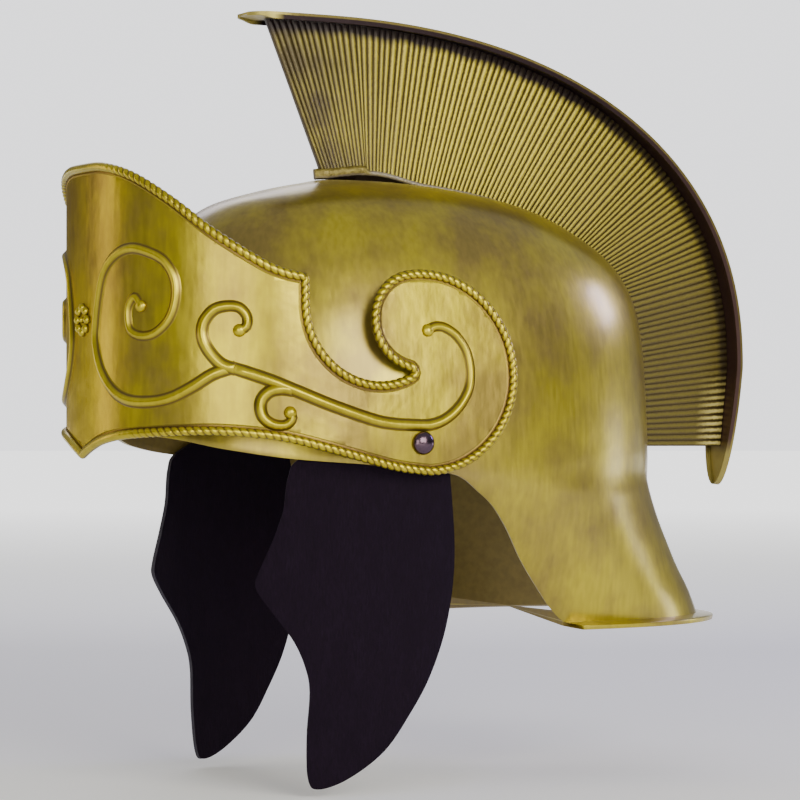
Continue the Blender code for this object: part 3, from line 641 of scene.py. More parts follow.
@dataclass(frozen=True)
class FlutedGold:
    """Gold paint over the crest's ribs, with painted shade in the valleys and over the rear ribs, a painted
    shadow under the cap and a painted highlight on the last ribs just under the cap.

    The tints are the rib's rise, the share of its height and the share of the crest. A fade is a pair of
    shares of the crest between which something grows, an edge a pair of values of what it is named for.
    """

    name: str
    rib: Point = (0.510, 0.422, 0.018)
    # browner toward the front; toward the rear this colour is painted shade
    brown_and_shaded_rib: Point = (0.058, 0.042, 0.010)
    # painted highlight on the last ribs, just under the cap
    tip: Point = (0.620, 0.520, 0.160)
    # painted shade: the valleys take darker colours than the ribs
    valley: Point = (0.096, 0.068, 0.009)
    brown_valley_shade: Point = (0.064, 0.044, 0.012)
    shadow: Point = (0.012, 0.004, 0.005)
    patch_scale: float = 60.0
    wear_scale: float = 900.0
    wear_gloss: Point = (0.37, 0.50)
    wear_depth: float = 0.0001
    rise_wear: Point = (-0.18, 0.14)
    rise_edge: Point = (0.22, 0.80)
    front_fade: Point = (0.03, 0.27)
    front_patches: Point = (0.70, 1.15)
    rear_fade: Point = (0.42, 0.80)
    rear_shade: float = 0.84
    tip_fade: Point = (0.90, 0.96)
    tip_height: Point = (0.72, 0.90)
    tip_edge: Point = (0.35, 0.70)
    shadow_edge: Point = (0.895, 0.950)
    shadow_wander: float = 0.015
    shadow_fade: Point = (0.45, 0.80)
    shadow_depth: Point = (0.98, 0.70)
    tail_shadow: float = 0.4

    def make(self) -> Material:
        """Make the material.

        Returns:
            The material.
        """
        board = NodeBoard(self.name)
        board.set(metallic=0.5, coat_weight=0.15, coat_roughness=0.3)
        rise, up, along = board.tints()
        patches = board.grain(self.patch_scale)
        wear = board.grain(self.wear_scale)
        shade_and_wear = board.compute("ADD", rise, board.vary(wear, *self.rise_wear))
        front = board.compute("MULTIPLY", board.spread(along, *self.front_fade, 1.0, 0.0),
                              board.vary(patches, *self.front_patches))
        # browner ribs at the front, and painted shade darkening the rear ribs
        brown_and_rear_shade = board.compute("ADD", front, board.spread(along, *self.rear_fade, 0.0, self.rear_shade))
        ribs = board.blend(brown_and_rear_shade, self.rib, self.brown_and_shaded_rib)
        # painted shade: low in the rib's rise the valley colours take over
        valleys = board.blend(brown_and_rear_shade, self.valley, self.brown_valley_shade)
        colour = board.blend(board.spread(shade_and_wear, *self.rise_edge), valleys, ribs)
        # painted highlight on the rib ends at the rear, near the cap
        tip_highlights = board.compute("MULTIPLY", board.spread(along, *self.tip_fade),
                             board.spread(up, *self.tip_height))
        tip_highlights = board.compute("MULTIPLY", tip_highlights, board.spread(shade_and_wear, *self.tip_edge))
        uneven = board.compute("ADD", up, board.vary(patches, -self.shadow_wander, self.shadow_wander))
        depth = board.compute("MULTIPLY", board.spread(along, *self.shadow_fade, *self.shadow_depth),
                              board.spread(along, *self.tip_fade, 1.0, self.tail_shadow))
        # painted shadow on the comb under the cap
        cap_shadow = board.compute("MULTIPLY", board.spread(uneven, *self.shadow_edge), depth)
        board.colour(board.blend(tip_highlights, board.blend(cap_shadow, colour, self.shadow), self.tip))
        board.gloss(board.vary(wear, *self.wear_gloss))
        board.bump(wear, self.wear_depth)
        return board.material


@dataclass(frozen=True)
class CapGold:
    """The cap's olive gold, with a painted shadow on its underside and the lower part of its sides.

    The first tint is the painted shadow, 1 underneath, the second 1 at the tongues, and the third the share
    of the way along.
    """

    name: str
    top: Point = (0.110, 0.086, 0.018)
    tongue: Point = (0.440, 0.370, 0.095)
    patch: Point = (0.180, 0.130, 0.040)
    # painted shadow under the cap, paler toward the rear
    under: Point = (0.012, 0.004, 0.006)
    rear_under_shade: Point = (0.058, 0.030, 0.026)
    rear_fade: Point = (0.45, 0.80)
    mottle_scale: float = 180.0
    mottle_edge: Point = (0.35, 0.75)
    mottle_share: float = 0.35
    mottle_gloss: Point = (0.37, 0.49)
    mottle_depth: float = 0.0001

    def make(self) -> Material:
        """Make the material.

        Returns:
            The material.
        """
        board = NodeBoard(self.name)
        board.set(metallic=0.55, coat_weight=0.04, coat_roughness=0.3, specular_ior_level=0.25)
        shaded_beneath, tongue, along = board.tints()
        mottle = board.grain(self.mottle_scale, detail=4.0)
        colour = board.blend(tongue, self.top, self.tongue)
        patches = board.spread(mottle, *self.mottle_edge, 0.0, self.mottle_share)
        colour = board.blend(patches, colour, self.patch)
        # painted shadow on the underside and the lower sides
        under = board.blend(board.spread(along, *self.rear_fade), self.under, self.rear_under_shade)
        board.colour(board.blend(shaded_beneath, colour, under))
        board.gloss(board.vary(mottle, *self.mottle_gloss))
        board.bump(mottle, self.mottle_depth)
        return board.material


@dataclass(frozen=True)
class FootGold:
    """The crest foot's paint. The first tint makes it a grey and mauve strip, the second paints shadow on the
    root.
    """

    name: str
    block: Point = (0.140, 0.105, 0.012)
    lump: Point = (0.330, 0.275, 0.060)
    strip: Point = (0.260, 0.225, 0.200)
    # painted shadow in the gap under the foot
    root: Point = (0.010, 0.005, 0.005)
    mottle_scale: float = 320.0
    mottle_edge: Point = (0.40, 0.70)
    mottle_share: float = 0.55
    mottle_gloss: Point = (0.32, 0.50)
    mottle_depth: float = 0.0004

    def make(self) -> Material:
        """Make the material.

        Returns:
            The material.
        """
        board = NodeBoard(self.name)
        board.set(metallic=0.45, coat_weight=0.1, coat_roughness=0.3)
        strip, root, _ = board.tints()
        mottle = board.grain(self.mottle_scale, detail=4.0, roughness=0.6)
        colour = board.blend(strip, self.block, self.strip)
        lumps = board.spread(mottle, *self.mottle_edge, 0.0, self.mottle_share)
        colour = board.blend(lumps, colour, self.lump)
        # painted shadow on the root rows
        board.colour(board.blend(root, colour, self.root))
        board.gloss(board.vary(mottle, *self.mottle_gloss))
        board.bump(mottle, self.mottle_depth)
        return board.material


@dataclass(frozen=True)
class ChromeWithPaintedReflection:
    """A rivet's chrome, its colour darkened as a painted reflection of dark surroundings, with faint wear."""

    name: str
    light: Point = (0.110, 0.072, 0.098)
    dark: Point = (0.0880, 0.0576, 0.0784)
    wear_scale: float = 1400.0
    wear_edge: Point = (0.40, 0.70)
    gloss_edge: Point = (0.30, 0.75)
    wear_gloss: Point = (0.15, 0.27)
    wear_depth: float = 0.00002

    def make(self) -> Material:
        """Make the material.

        Returns:
            The material.
        """
        board = NodeBoard(self.name)
        board.set(metallic=1.0)
        wear = board.grain(self.wear_scale)
        # painted reflection: the chrome's colour is darkened for the dark surroundings it would reflect
        board.colour(board.blend(board.spread(wear, *self.wear_edge), self.light, self.dark))
        board.gloss(board.spread(wear, *self.gloss_edge, *self.wear_gloss))
        board.bump(wear, self.wear_depth)
        return board.material


@dataclass(frozen=True)
class NappedCloth:
    """Black cloth with a purple cast and a fine nap that runs down."""

    name: str
    base: Point = (0.0038, 0.0009, 0.0052)
    nap: Point = (0.0105, 0.0048, 0.0140)
    fibre_scale: Point = (1300.0, 1300.0, 240.0)
    fibre_edge: Point = (0.35, 0.75)
    fibre_gloss: Point = (0.80, 0.90)
    mottle_scale: Point = (130.0, 130.0, 60.0)
    mottle_share: Point = (0.4, 1.0)
    nap_depth: float = 0.0003

    def make(self) -> Material:
        """Make the material.

        Returns:
            The material.
        """
        board = NodeBoard(self.name)
        board.set(sheen_weight=0.05, sheen_roughness=0.5, sheen_tint=(0.55, 0.5, 0.8, 1.0),
                  specular_ior_level=0.12)
        fibres = board.grain(self.fibre_scale, detail=4.0, roughness=0.65)
        mottle = board.grain(self.mottle_scale, detail=4.0, roughness=0.6)
        share = board.compute("MULTIPLY", board.spread(fibres, *self.fibre_edge),
                              board.vary(mottle, *self.mottle_share))
        board.colour(board.blend(share, self.base, self.nap))
        board.gloss(board.vary(fibres, *self.fibre_gloss))
        board.bump(board.compute("ADD", fibres, mottle), self.nap_depth)
        return board.material


@dataclass(frozen=True)
class PaleFloor:
    """The studio's plain pale floor, which glows more and more in one direction."""

    away: Point
    colour: Point = (0.88, 0.88, 0.88)
    shade: Point = (0.8712, 0.8712, 0.8712)
    shade_scale: float = 3.0
    glow: Point = (0.20, 1.95)
    reach: Point = (0.7, 3.4)

    def make(self) -> Material:
        """Make the material.

        Returns:
            The material.
        """
        board = NodeBoard("studio_floor")
        board.set(roughness=0.9, specular_ior_level=0.1, emission_color=(*self.colour, 1.0))
        distance = board.add("ShaderNodeVectorMath", operation="DOT_PRODUCT")
        distance.inputs[1].default_value = self.away
        board.links.new(board.coordinates, distance.inputs[0])
        glow = board.spread(distance.outputs["Value"], *self.reach, *self.glow)
        board.links.new(glow, board.shader.inputs["Emission Strength"])
        board.colour(board.blend(board.grain(self.shade_scale), self.colour, self.shade))
        return board.material


@dataclass
class Bowl:
    """The skull, the neck guard and the turned-out flange, one thin moulding open at the face.

    A section's depth is a share of the dome's height or of the neck guard's drop, its front and rear are
    shares of the half length, and its side is a share of the half width. A knot's first value is a share of
    the half length, its second a share of the dome's height or of the neck guard's drop.
    """

    wall: float = 0.002
    half_length: float = 0.1355
    half_width: float = 0.087
    squareness: float = 2.2
    dome_height: float = 0.134
    neck_drop: float = 0.0746
    flange_width: float = 0.008
    flange_drop: float = 0.0012
    column_step: float = 0.0034
    row_count: int = 60
    flange_rows: int = 3
    row_steps: int = 8
    front_rows: int = 2
    samples: int = 900
    edge_halvings: int = 20
    edge_rounding: float = 0.0006

    dome_rows = (
        (0.012, -0.330, 0.054, 0.263), (0.045, -0.486, 0.334, 0.432), (0.100, -0.660, 0.559, 0.577),
        (0.180, -0.765, 0.721, 0.705), (0.280, -0.835, 0.859, 0.808), (0.400, -0.885, 0.939, 0.888),
        (0.550, -0.930, 0.976, 0.950), (0.750, -0.972, 0.990, 0.989), (1.000, -1.000, 1.000, 1.000))
    neck_rows = (
        (0.07, -1.000, 0.993, 0.998), (0.14, -0.880, 0.997, 0.988), (0.24, -0.760, 1.013, 0.962),
        (0.39, -0.600, 1.045, 0.925), (0.55, -0.430, 1.087, 0.885), (0.70, -0.280, 1.128, 0.850),
        (0.85, -0.130, 1.178, 0.815), (1.00, 0.000, 1.215, 0.785))
    rim_knots = ((-1.30, 0.888), (-1.00, 0.896), (-0.81, 0.942), (-0.62, 0.974), (-0.38, 0.994),
                 (-0.18, 1.016), (-0.06, 1.034))
    neck_edge_knots = ((0.023, 0.162), (0.090, 0.256), (0.157, 0.401), (0.232, 0.598), (0.309, 0.765),
                       (0.375, 0.898), (0.425, 0.979), (0.470, 1.030), (0.530, 1.120))

    @property
    def crown_top(self) -> float:
        """The height of the crown's outside."""
        return self.wall

    @property
    def dome_foot(self) -> float:
        """The height of the dome's foot."""
        return self.crown_top - self.dome_height

    def __post_init__(self) -> None:
        """Draw the sections from the crown down, and the edge of the face opening."""
        rows = [(self.crown_top - depth * self.dome_height, front * self.half_length,
                 rear * self.half_length, side * self.half_width)
                for depth, front, rear, side in self.dome_rows]
        rows += [(self.dome_foot - drop * self.neck_drop, front * self.half_length,
                  rear * self.half_length, side * self.half_width)
                 for drop, front, rear, side in self.neck_rows]
        crown = (self.crown_top, -CROWN_AHEAD, -CROWN_AHEAD, 0.0)
        height, front, rear, side = rows[0]
        self.sections = Path.smooth([crown, *rows], self.row_steps, (height, rear, front, -side)).points
        rim = [(along * self.half_length, self.crown_top - height * self.dome_height)
               for along, height in self.rim_knots]
        rim += [(along * self.half_length, self.dome_foot - height * self.neck_drop)
                for along, height in self.neck_edge_knots]
        self.edge = Path.smooth(rim, self.row_steps).points

    def section_point(self, section: Point, angle: float) -> Vector:
        """Find a point of the shell on one section, on the column that has this angle on the dome.

        Args:
            section: The section's height, front, rear and half width.
            angle: The angle from the wearer's left toward the back.

        Returns:
            The point. Below the dome a column falls straight where the section draws back from the face.
        """
        height, front, rear, side = section
        power = 2.0 / self.squareness
        if height > self.dome_foot - TINY:
            y = (front + rear) / 2 + (rear - front) / 2 * signed_power(math.sin(angle), power)
            return Vector((side * signed_power(math.cos(angle), power), y, height))
        y = -self.half_length + (rear + self.half_length) * (0.5 + 0.5 * signed_power(math.sin(angle), power))
        from_middle = min(1.0, abs(2.0 * y - front - rear) / (rear - front))
        across = side * (1.0 - from_middle ** self.squareness) ** (1.0 / self.squareness)
        return Vector((math.copysign(across, math.cos(angle)), y, height))

    def column(self, angle: float) -> tuple[Path, Path]:
        """Trace the surface from the crown down to its rim at one angle.

        Args:
            angle: The column's angle.

        Returns:
            The column down to the flange's fold or the face opening, and the flange's part, which has no
            length where the opening ends the column first.
        """
        height, front, rear, side = self.sections[-1]
        width = self.flange_width
        flange = (height - self.flange_drop, front - width, rear + width, side + width)
        points = [self.section_point(section, angle) for section in (*self.sections, flange)]
        fold = len(points) - 2
        for index in range(1, len(points)):
            if self.is_open(points[index]):
                end = self.meet_edge(points[index - 1], points[index])
                if index <= fold:
                    return Path(points[:index] + [end]), Path([end, end])
                return Path(points[:index]), Path([points[fold], end])
        return Path(points[:fold + 1]), Path(points[fold:])

    def is_open(self, point: Vector) -> bool:
        """Say whether a point lies in the face opening."""
        return point.y < self.edge[-1][0] and point.z < table_value(self.edge, point.y)

    def meet_edge(self, above: Vector, below: Vector) -> Vector:
        """Find where the way between two points meets the opening's edge.

        Args:
            above: A point on the shell.
            below: A point in the opening.

        Returns:
            The point on the edge.
        """
        for _ in range(self.edge_halvings):
            middle = (above + below) / 2
            above, below = (above, middle) if self.is_open(middle) else (middle, below)
        return (above + below) / 2

    def column_angles(self) -> list[float]:
        """Choose the columns so that their ends are evenly spaced along the rim.

        Returns:
            Their angles.
        """
        angles = [QUARTER_TURN * (2.0 * index / self.samples - 1.0) for index in range(self.samples + 1)]
        rim = Path([self.column(angle)[1].points[-1] for angle in angles])
        count = round(rim.total / self.column_step)
        half = []
        for index in range(count + 1):
            distance = rim.total * index / count
            place = min(max(bisect.bisect_left(rim.lengths, distance), 1), self.samples)
            low, high = rim.lengths[place - 1], rim.lengths[place]
            share = (distance - low) / max(high - low, TINY)
            half.append(angles[place - 1] + (angles[place] - angles[place - 1]) * share)
        return half + [math.pi - angle for angle in reversed(half[:-1])]

    def back_line(self, lowest: float) -> Path:
        """Trace the middle line from ahead of the crown back and down.

        Args:
            lowest: The height to end at.

        Returns:
            The line.
        """
        ahead = [(row[1], row[0]) for row in reversed(self.sections[1:self.front_rows * self.row_steps])]
        behind = [(row[2], row[0]) for row in self.sections if row[0] > lowest]
        return Path(ahead + behind)

    def build(self) -> Object:
        """Build the bowl.

        Returns:
            The piece.
        """
        columns = [self.column(angle) for angle in self.column_angles()]

        def place(column: int, row: int) -> Vector:
            """Find a point of the shell.

            Args:
                column: The place round the bowl.
                row: The place from the crown down, past the fold on the flange.

            Returns:
                The point.
            """
            main, flange = columns[column]
            if row <= self.row_count:
                return Vector(main.at(main.total * row / self.row_count))
            return Vector(flange.at(flange.total * (row - self.row_count) / self.flange_rows))

        builder = mapped_grid(len(columns) - 1, self.row_count + self.flange_rows, place)
        paints = (SatinGold("bowl_paint").make(), PlainInside("bowl_inside").make())
        bowl = add_piece("bowl_shell", builder, paints, Body.HELMET, is_sheet=True)
        add_wall(bowl, self.wall, inside_offset=1)
        soften_edges(bowl, self.edge_rounding)
        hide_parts("bowl")
        return bowl


@dataclass
class Band:
    """The visor's surface: a plan curve round the brow, unrolled into along and height."""

    half_width: float = 0.0898
    reach: float = 0.155
    brow_depth: float = 0.105
    squareness: float = 2.3
    pivot_ahead: float = 0.028
    pivot_z: float = -0.1216
    volute_radius: float = 0.0444
    volute_behind: float = 0.0033
    volute_rise: float = 0.0318
    notch_radius: float = 0.0361
    notch_ahead: float = 0.024
    ear_lean: float = 0.007
    lean_start: float = 0.45
    lean_power: float = 1.6
    samples: int = 720
    tail: float = 0.1355
    plan_step: float = 0.001

    def __post_init__(self) -> None:
        """Measure the plan curve from the middle of the brow back past the ear."""
        power = 2.0 / self.squareness
        self.brow_y = self.brow_depth - self.reach
        points = []
        for k in range(self.samples + 1):
            angle = QUARTER_TURN * k / self.samples
            points.append((self.half_width * math.sin(angle) ** power if k else 0.0,
                           self.brow_y - self.brow_depth * abs(math.cos(angle)) ** power))
        points.append((self.half_width, self.brow_y + self.brow_depth + self.tail))
        self.plan = Path(points)
        self.pivot = self.plan.lengths[self.samples] - self.pivot_ahead - self.brow_y
        self.volute = self.pivot + self.volute_behind
        self.notch = self.volute - self.notch_ahead
        self.corner = self.notch - self.notch_radius
        self.volute_z = self.pivot_z + self.volute_rise
        self.hem_z = self.volute_z - self.volute_radius

    def plan_point(self, along: float) -> tuple[Point, Point]:
        """Find the plan curve's point and outward direction.

        Args:
            along: The distance from the middle of the brow, more than 0 toward the wearer's left.

        Returns:
            The point and the direction.
        """
        side = math.copysign(1.0, along)
        reach = abs(along)
        x, y = self.plan.at(reach)
        if reach < self.plan_step:
            return (side * x, y), (0.0, -1.0)
        x_before, y_before = self.plan.at(reach - self.plan_step)
        x_after, y_after = self.plan.at(reach + self.plan_step)
        length = math.hypot(x_after - x_before, y_after - y_before)
        return (side * x, y), (side * (y_after - y_before) / length, -(x_after - x_before) / length)

    def lean(self, y: float, height: float) -> float:
        """Say how far the surface leans in toward the dome beside the ears.

        Args:
            y: The place from front to back.
            height: The height.

        Returns:
            The lean.
        """
        rise = max(0.0, height - self.pivot_z) / (self.volute_rise + self.volute_radius)
        back = smooth_step(0.0, 1.0, 1.0 + (y - self.brow_y) / (self.lean_start * self.brow_depth))
        return self.ear_lean * rise ** self.lean_power * back

    def place(self, along: float, height: float, stand: float) -> Vector:
        """Find the point in space at a place on the band.

        Args:
            along: The distance round from the middle of the brow.
            height: The height.
            stand: How far the point stands out from the band.

        Returns:
            The point.
        """
        (x, y), (out_x, out_y) = self.plan_point(along)
        x -= math.copysign(self.lean(y, height), along)
        return Vector((x + stand * out_x, y + stand * out_y, height))


@dataclass
class Visor:
    """The brow band with its volutes, rope edge, scrolls and rosette, which turns on the rivets.

    A knot's first value is a share of the way round the band, its second a share of the rise of its line. A
    shadow line's corner has its distance inward in rope radii, its painted shade and how far out it lies. An
    edge, a root or a foot is a pair of values between which its painted shade grows.
    """

    band: Band
    wall: float = 0.002
    curl_radius: float = 0.021
    curl_angle: float = 100.5
    notch_rise: float = 0.030
    notch_lip: float = 0.0116
    cusp_radius: float = 0.0025
    brow_rise: float = 0.0512
    hem_arch: float = 0.0184
    arc_turn: float = 3.0
    arc_least: int = 4
    curve_steps: int = 10
    along_step: float = 0.003
    up_step: float = 0.005
    rope_radius: float = 0.0021
    rope_stand: float = 0.0003
    rope_strands: int = 2
    rope_pitch: float = 0.0034
    rope_step: float = 0.0006
    rope_sides: int = 14
    # painted shade in the rope's strand grooves and along its foot
    rope_foot: Point = (0.35, -0.1)
    rope_foot_shade: float = 0.7
    strand_depth: float = 0.30
    plain_brow: float = 0.030
    plain_hem: float = 0.045
    lay_start: float = 0.6
    lay_full: float = 1.3
    # the strip of painted shadow inside the rope edge
    shadow_line_step: float = 0.0015
    groove_edge: Point = (0.12, 0.70)
    groove_shade: float = 0.95
    ridge_half_width: float = 0.0023
    ridge_height: float = 0.0021
    ridge_spread: float = 1.48
    ridge_fullness: float = 0.85
    ridge_root: float = 0.0009
    ridge_seat: float = 0.3
    ridge_sides: int = 14
    ridge_step: float = 0.0012
    root_inner: Point = (0.38, 0.66)
    root_outer: Point = (0.72, 1.0)
    # painted shade along the ridges' roots, under them and round the knobs' feet
    root_shade: float = 0.95
    ridge_under_shade: float = 0.5
    thin_end: float = 0.78
    low_share: float = 0.6
    end_share: float = 0.25
    swell_reach: float = 0.7
    fade_reach: float = 0.04
    knob_radius: float = 0.0029
    knob_rise: float = 1.15
    knob_edge: Point = (0.45, 0.05)
    knob_shade: float = 0.9
    rosette_height: float = 0.498
    rosette_radius: float = 0.0056
    petal_radius: float = 0.0021
    petals: int = 8
    middle_share: float = 0.7

    brow_knots = ((0.000, 1.000), (0.163, 0.988), (0.327, 0.895), (0.493, 0.680), (0.657, 0.391),
                  (0.819, 0.146), (0.912, 0.043), (1.000, 0.000))
    hem_knots = ((1.000, 0.000), (0.907, 0.120), (0.792, 0.410), (0.716, 0.610), (0.639, 0.800),
                 (0.563, 0.918), (0.428, 1.000), (0.219, 0.908), (0.120, 0.777), (0.060, 0.610),
                 (0.000, 0.390))
    shadow_line_corners = ((0.00, 0.9, 0.0001), (0.95, 0.9, 0.0001), (1.20, 0.8, 0.00008), (1.55, 0.0, 0.00001),
                      (1.60, 0.0, -0.0004), (0.00, 0.9, -0.0004))
    front_scroll = ((0.252, 0.536), (0.233, 0.566), (0.213, 0.540), (0.209, 0.498), (0.220, 0.456),
                    (0.255, 0.439), (0.294, 0.448), (0.331, 0.490), (0.349, 0.553), (0.347, 0.621),
                    (0.320, 0.679), (0.274, 0.710), (0.220, 0.724), (0.165, 0.705), (0.119, 0.657),
                    (0.095, 0.587), (0.080, 0.502), (0.075, 0.423), (0.100, 0.337), (0.149, 0.268),
                    (0.206, 0.233), (0.274, 0.226), (0.336, 0.239), (0.393, 0.274), (0.446, 0.316),
                    (0.500, 0.338))
    middle_scroll = ((0.508, 0.455), (0.525, 0.468), (0.526, 0.500), (0.508, 0.528), (0.478, 0.533),
                     (0.445, 0.520), (0.421, 0.479), (0.419, 0.431), (0.436, 0.386), (0.465, 0.347),
                     (0.500, 0.330))
    lower_scroll = ((0.631, 0.192), (0.636, 0.173), (0.621, 0.153), (0.592, 0.153), (0.568, 0.173),
                    (0.559, 0.205), (0.563, 0.236), (0.583, 0.261), (0.612, 0.268), (0.640, 0.262))
    ear_scroll = ((1.006, 0.461), (1.028, 0.474), (1.055, 0.470), (1.087, 0.443), (1.112, 0.394),
                  (1.121, 0.335), (1.115, 0.272), (1.087, 0.213), (1.047, 0.171), (1.005, 0.152),
                  (0.959, 0.151), (0.902, 0.155), (0.846, 0.168), (0.738, 0.214), (0.640, 0.265),
                  (0.587, 0.293), (0.537, 0.316), (0.490, 0.336))

    def __post_init__(self) -> None:
        """Draw the visor's edge and work out the heights that its relief is measured from."""
        self.notch_z = self.band.volute_z + self.notch_rise
        self.corner_z = self.notch_z + self.notch_lip
        self.band_rise = self.corner_z + self.brow_rise - self.band.hem_z
        half = self.half_outline()
        self.outline = half + [(-along, height) for along, height in reversed(half[1:-1])]

    def arc(self, centre: Point, radius: float, start: float, end: float) -> list[Point]:
        """Draw an arc between two angles in radians.

        Args:
            centre: The arc's centre.
            radius: Its radius.
            start: The angle that it starts at.
            end: The angle that it ends at.

        Returns:
            Its points.
        """
        steps = max(self.arc_least, round(abs(end - start) / math.radians(self.arc_turn)))
        return [(centre[0] + radius * math.cos(start + (end - start) * k / steps),
                 centre[1] + radius * math.sin(start + (end - start) * k / steps)) for k in range(steps + 1)]

    @staticmethod
    def nook(centre_a: Point, radius_a: float, centre_b: Point, radius_b: float) -> Point:
        """Find the lower of the two points where two circles meet.

        Args:
            centre_a: The first circle's centre.
            radius_a: Its radius.
            centre_b: The second circle's centre.
            radius_b: Its radius.

        Returns:
            The point.
        """
        gap = math.dist(centre_a, centre_b)
        along = (radius_a ** 2 - radius_b ** 2 + gap ** 2) / (2 * gap)
        across = math.sqrt(max(radius_a ** 2 - along ** 2, 0.0))
        unit = ((centre_b[0] - centre_a[0]) / gap, (centre_b[1] - centre_a[1]) / gap)
        foot = (centre_a[0] + along * unit[0], centre_a[1] + along * unit[1])
        meets = [(foot[0] + sign * across * unit[1], foot[1] - sign * across * unit[0]) for sign in (-1, 1)]
        return min(meets, key=lambda point: point[1])

    def half_outline(self) -> list[Point]:
        """Draw the edge on the wearer's left.

        Returns:
            Its points, from the middle of the brow round to the middle of the hem.
        """
        band = self.band
        notch_centre = (band.notch, self.notch_z)
        volute_centre = (band.volute, band.volute_z)
        tilt = math.radians(self.curl_angle)
        between = band.volute_radius - self.curl_radius
        curl_centre = (band.volute + between * math.cos(tilt), band.volute_z + between * math.sin(tilt))
        nook = self.nook(notch_centre, band.notch_radius - self.cusp_radius,
                         curl_centre, self.curl_radius + self.cusp_radius)
        arriving = math.atan2(nook[1] - notch_centre[1], nook[0] - notch_centre[0])
        leaving = math.atan2(curl_centre[1] - nook[1], curl_centre[0] - nook[0])
        brow = Path.smooth([(along * band.corner, self.corner_z + height * self.brow_rise)
                            for along, height in self.brow_knots], self.curve_steps).points
        hem = Path.smooth([(along * band.volute, band.hem_z + height * self.hem_arch)
                           for along, height in self.hem_knots], self.curve_steps).points
        notch = self.arc(notch_centre, band.notch_radius, -math.pi, arriving)
        cusp = self.arc(nook, self.cusp_radius, arriving, leaving)
        curl = self.arc(curl_centre, self.curl_radius, leaving + math.pi, tilt)
        volute = self.arc(volute_centre, band.volute_radius, tilt, -QUARTER_TURN)
        return brow + notch + cusp[1:] + curl[1:] + volute[1:] + hem[1:]

    def build_sheet(self, gold: Material, inside: Material) -> Object:
        """Cut the band to its outline and bend it round the brow.

        Args:
            gold: The outside's material.
            inside: The inside's material.

        Returns:
            The piece.
        """
        builder = flat_sheet(self.outline, self.along_step, self.up_step)
        layer = builder.verts.layers.float_color.new(TINT_LAYER)
        for vertex in builder.verts:
            vertex[layer] = (*NO_TINT, 1.0)
            vertex.co = self.band.place(vertex.co.x, vertex.co.y, 0.0)
        sheet = add_piece("visor_band", builder, (gold, inside), Body.VISOR, is_sheet=True)
        add_wall(sheet, self.wall, inside_offset=1)
        return sheet

    def sweep(self, stations: Sequence[Point], section: Section, sides: int, tint: Tint, closed: bool,
              side: float = 1.0) -> bmesh.types.BMesh:
        """Carry a section along a line on the band.

        Args:
            stations: The line's points, each a distance along the band and a height.
            section: Gives how far to the side and how far out a place along and round the sweep lies.
            sides: How many sides the section has.
            tint: Gives the finish's values there.
            closed: Whether the line is a loop.
            side: The side of the helmet, 1 or -1.

        Returns:
            The swept shape.
        """
        count = len(stations)

        def place(column: int, row: int) -> Vector:
            """Find a point of the sweep.

            Args:
                column: The place along the line.
                row: The place round the section.

            Returns:
                The point.
            """
            index = column % count
            along, height = stations[index][:2]
            before = stations[(index - 1) % count if closed else max(index - 1, 0)]
            after = stations[(index + 1) % count if closed else min(index + 1, count - 1)]
            length = math.dist(before[:2], after[:2])
            sideways, stand = section(index, row % sides)
            return self.band.place(side * (along - sideways * (after[1] - before[1]) / length),
                                   height + sideways * (after[0] - before[0]) / length, stand)

        builder = mapped_grid(count if closed else count - 1, sides, place, tint)
        if not closed:
            close_ends(builder)
        return builder

    def build_rope(self, gold: Material) -> Object:
        """Twist the rope edge all round the band, plain near the middle of the brow and the hem.

        Args:
            gold: The material.

        Returns:
            The piece.
        """
        line = Path(self.outline + self.outline[:1]).even(self.rope_step)
        loop = line.points[:-1]
        lays = round(line.total / (self.rope_pitch * self.rope_strands))

        def strand(column: int, row: int) -> float:
            """Say how high the rope's skin stands in its strand.

            Args:
                column: The place along the rope.
                row: The place round it.

            Returns:
                The height, from 0 in a groove to 1.
            """
            angle = FULL_TURN * row / self.rope_sides
            phase = self.rope_strands * (angle - FULL_TURN * lays * column / len(loop))
            return math.sqrt(abs(math.cos(phase / 2.0)))

        def depth(column: int) -> float:
            """Say how deep the grooves are.

            Args:
                column: The place along the rope.

            Returns:
                The depth as a share of the rope's radius.
            """
            along, height = loop[column % len(loop)]
            plain = self.plain_brow if height > self.notch_z else self.plain_hem
            return self.strand_depth * smooth_step(self.lay_start * plain, self.lay_full * plain, abs(along))

        def section(column: int, row: int) -> tuple[float, float]:
            """Place the rope's skin.

            Args:
                column: The place along the rope.
                row: The place round it.

            Returns:
                How far to the side and how far out it lies.
            """
            angle = FULL_TURN * row / self.rope_sides
            radius = self.rope_radius * (1.0 - depth(column) * (1.0 - strand(column, row)))
            return radius * math.cos(angle), self.rope_stand + radius * math.sin(angle)

        def tint(column: int, row: int) -> Point:
            """Paint shade into the strand grooves and along the rope's foot against the band.

            Args:
                column: The place along the rope.
                row: The place round it.

            Returns:
                The finish's values.
            """
            groove = (1.0 - strand(column, row)) * depth(column) / self.strand_depth
            foot = smooth_step(*self.rope_foot, math.sin(FULL_TURN * row / self.rope_sides))
            # painted shade in the grooves and where the rope meets the band
            dark = self.groove_shade * smooth_step(*self.groove_edge, groove) + self.rope_foot_shade * foot
            return min(1.0, dark), 0.0, 0.0

        builder = self.sweep(loop, section, self.rope_sides, tint, True)
        return add_piece("visor_rope", builder, (gold,), Body.VISOR, smooth_angle=70.0)

    def build_shadow_line(self, gold: Material) -> Object:
        """Lay a strip of painted shadow that runs inside the rope edge.

        Args:
            gold: The material.

        Returns:
            The piece.
        """
        loop = Path(self.outline + self.outline[:1]).even(self.shadow_line_step).points[:-1]
        sides = len(self.shadow_line_corners)

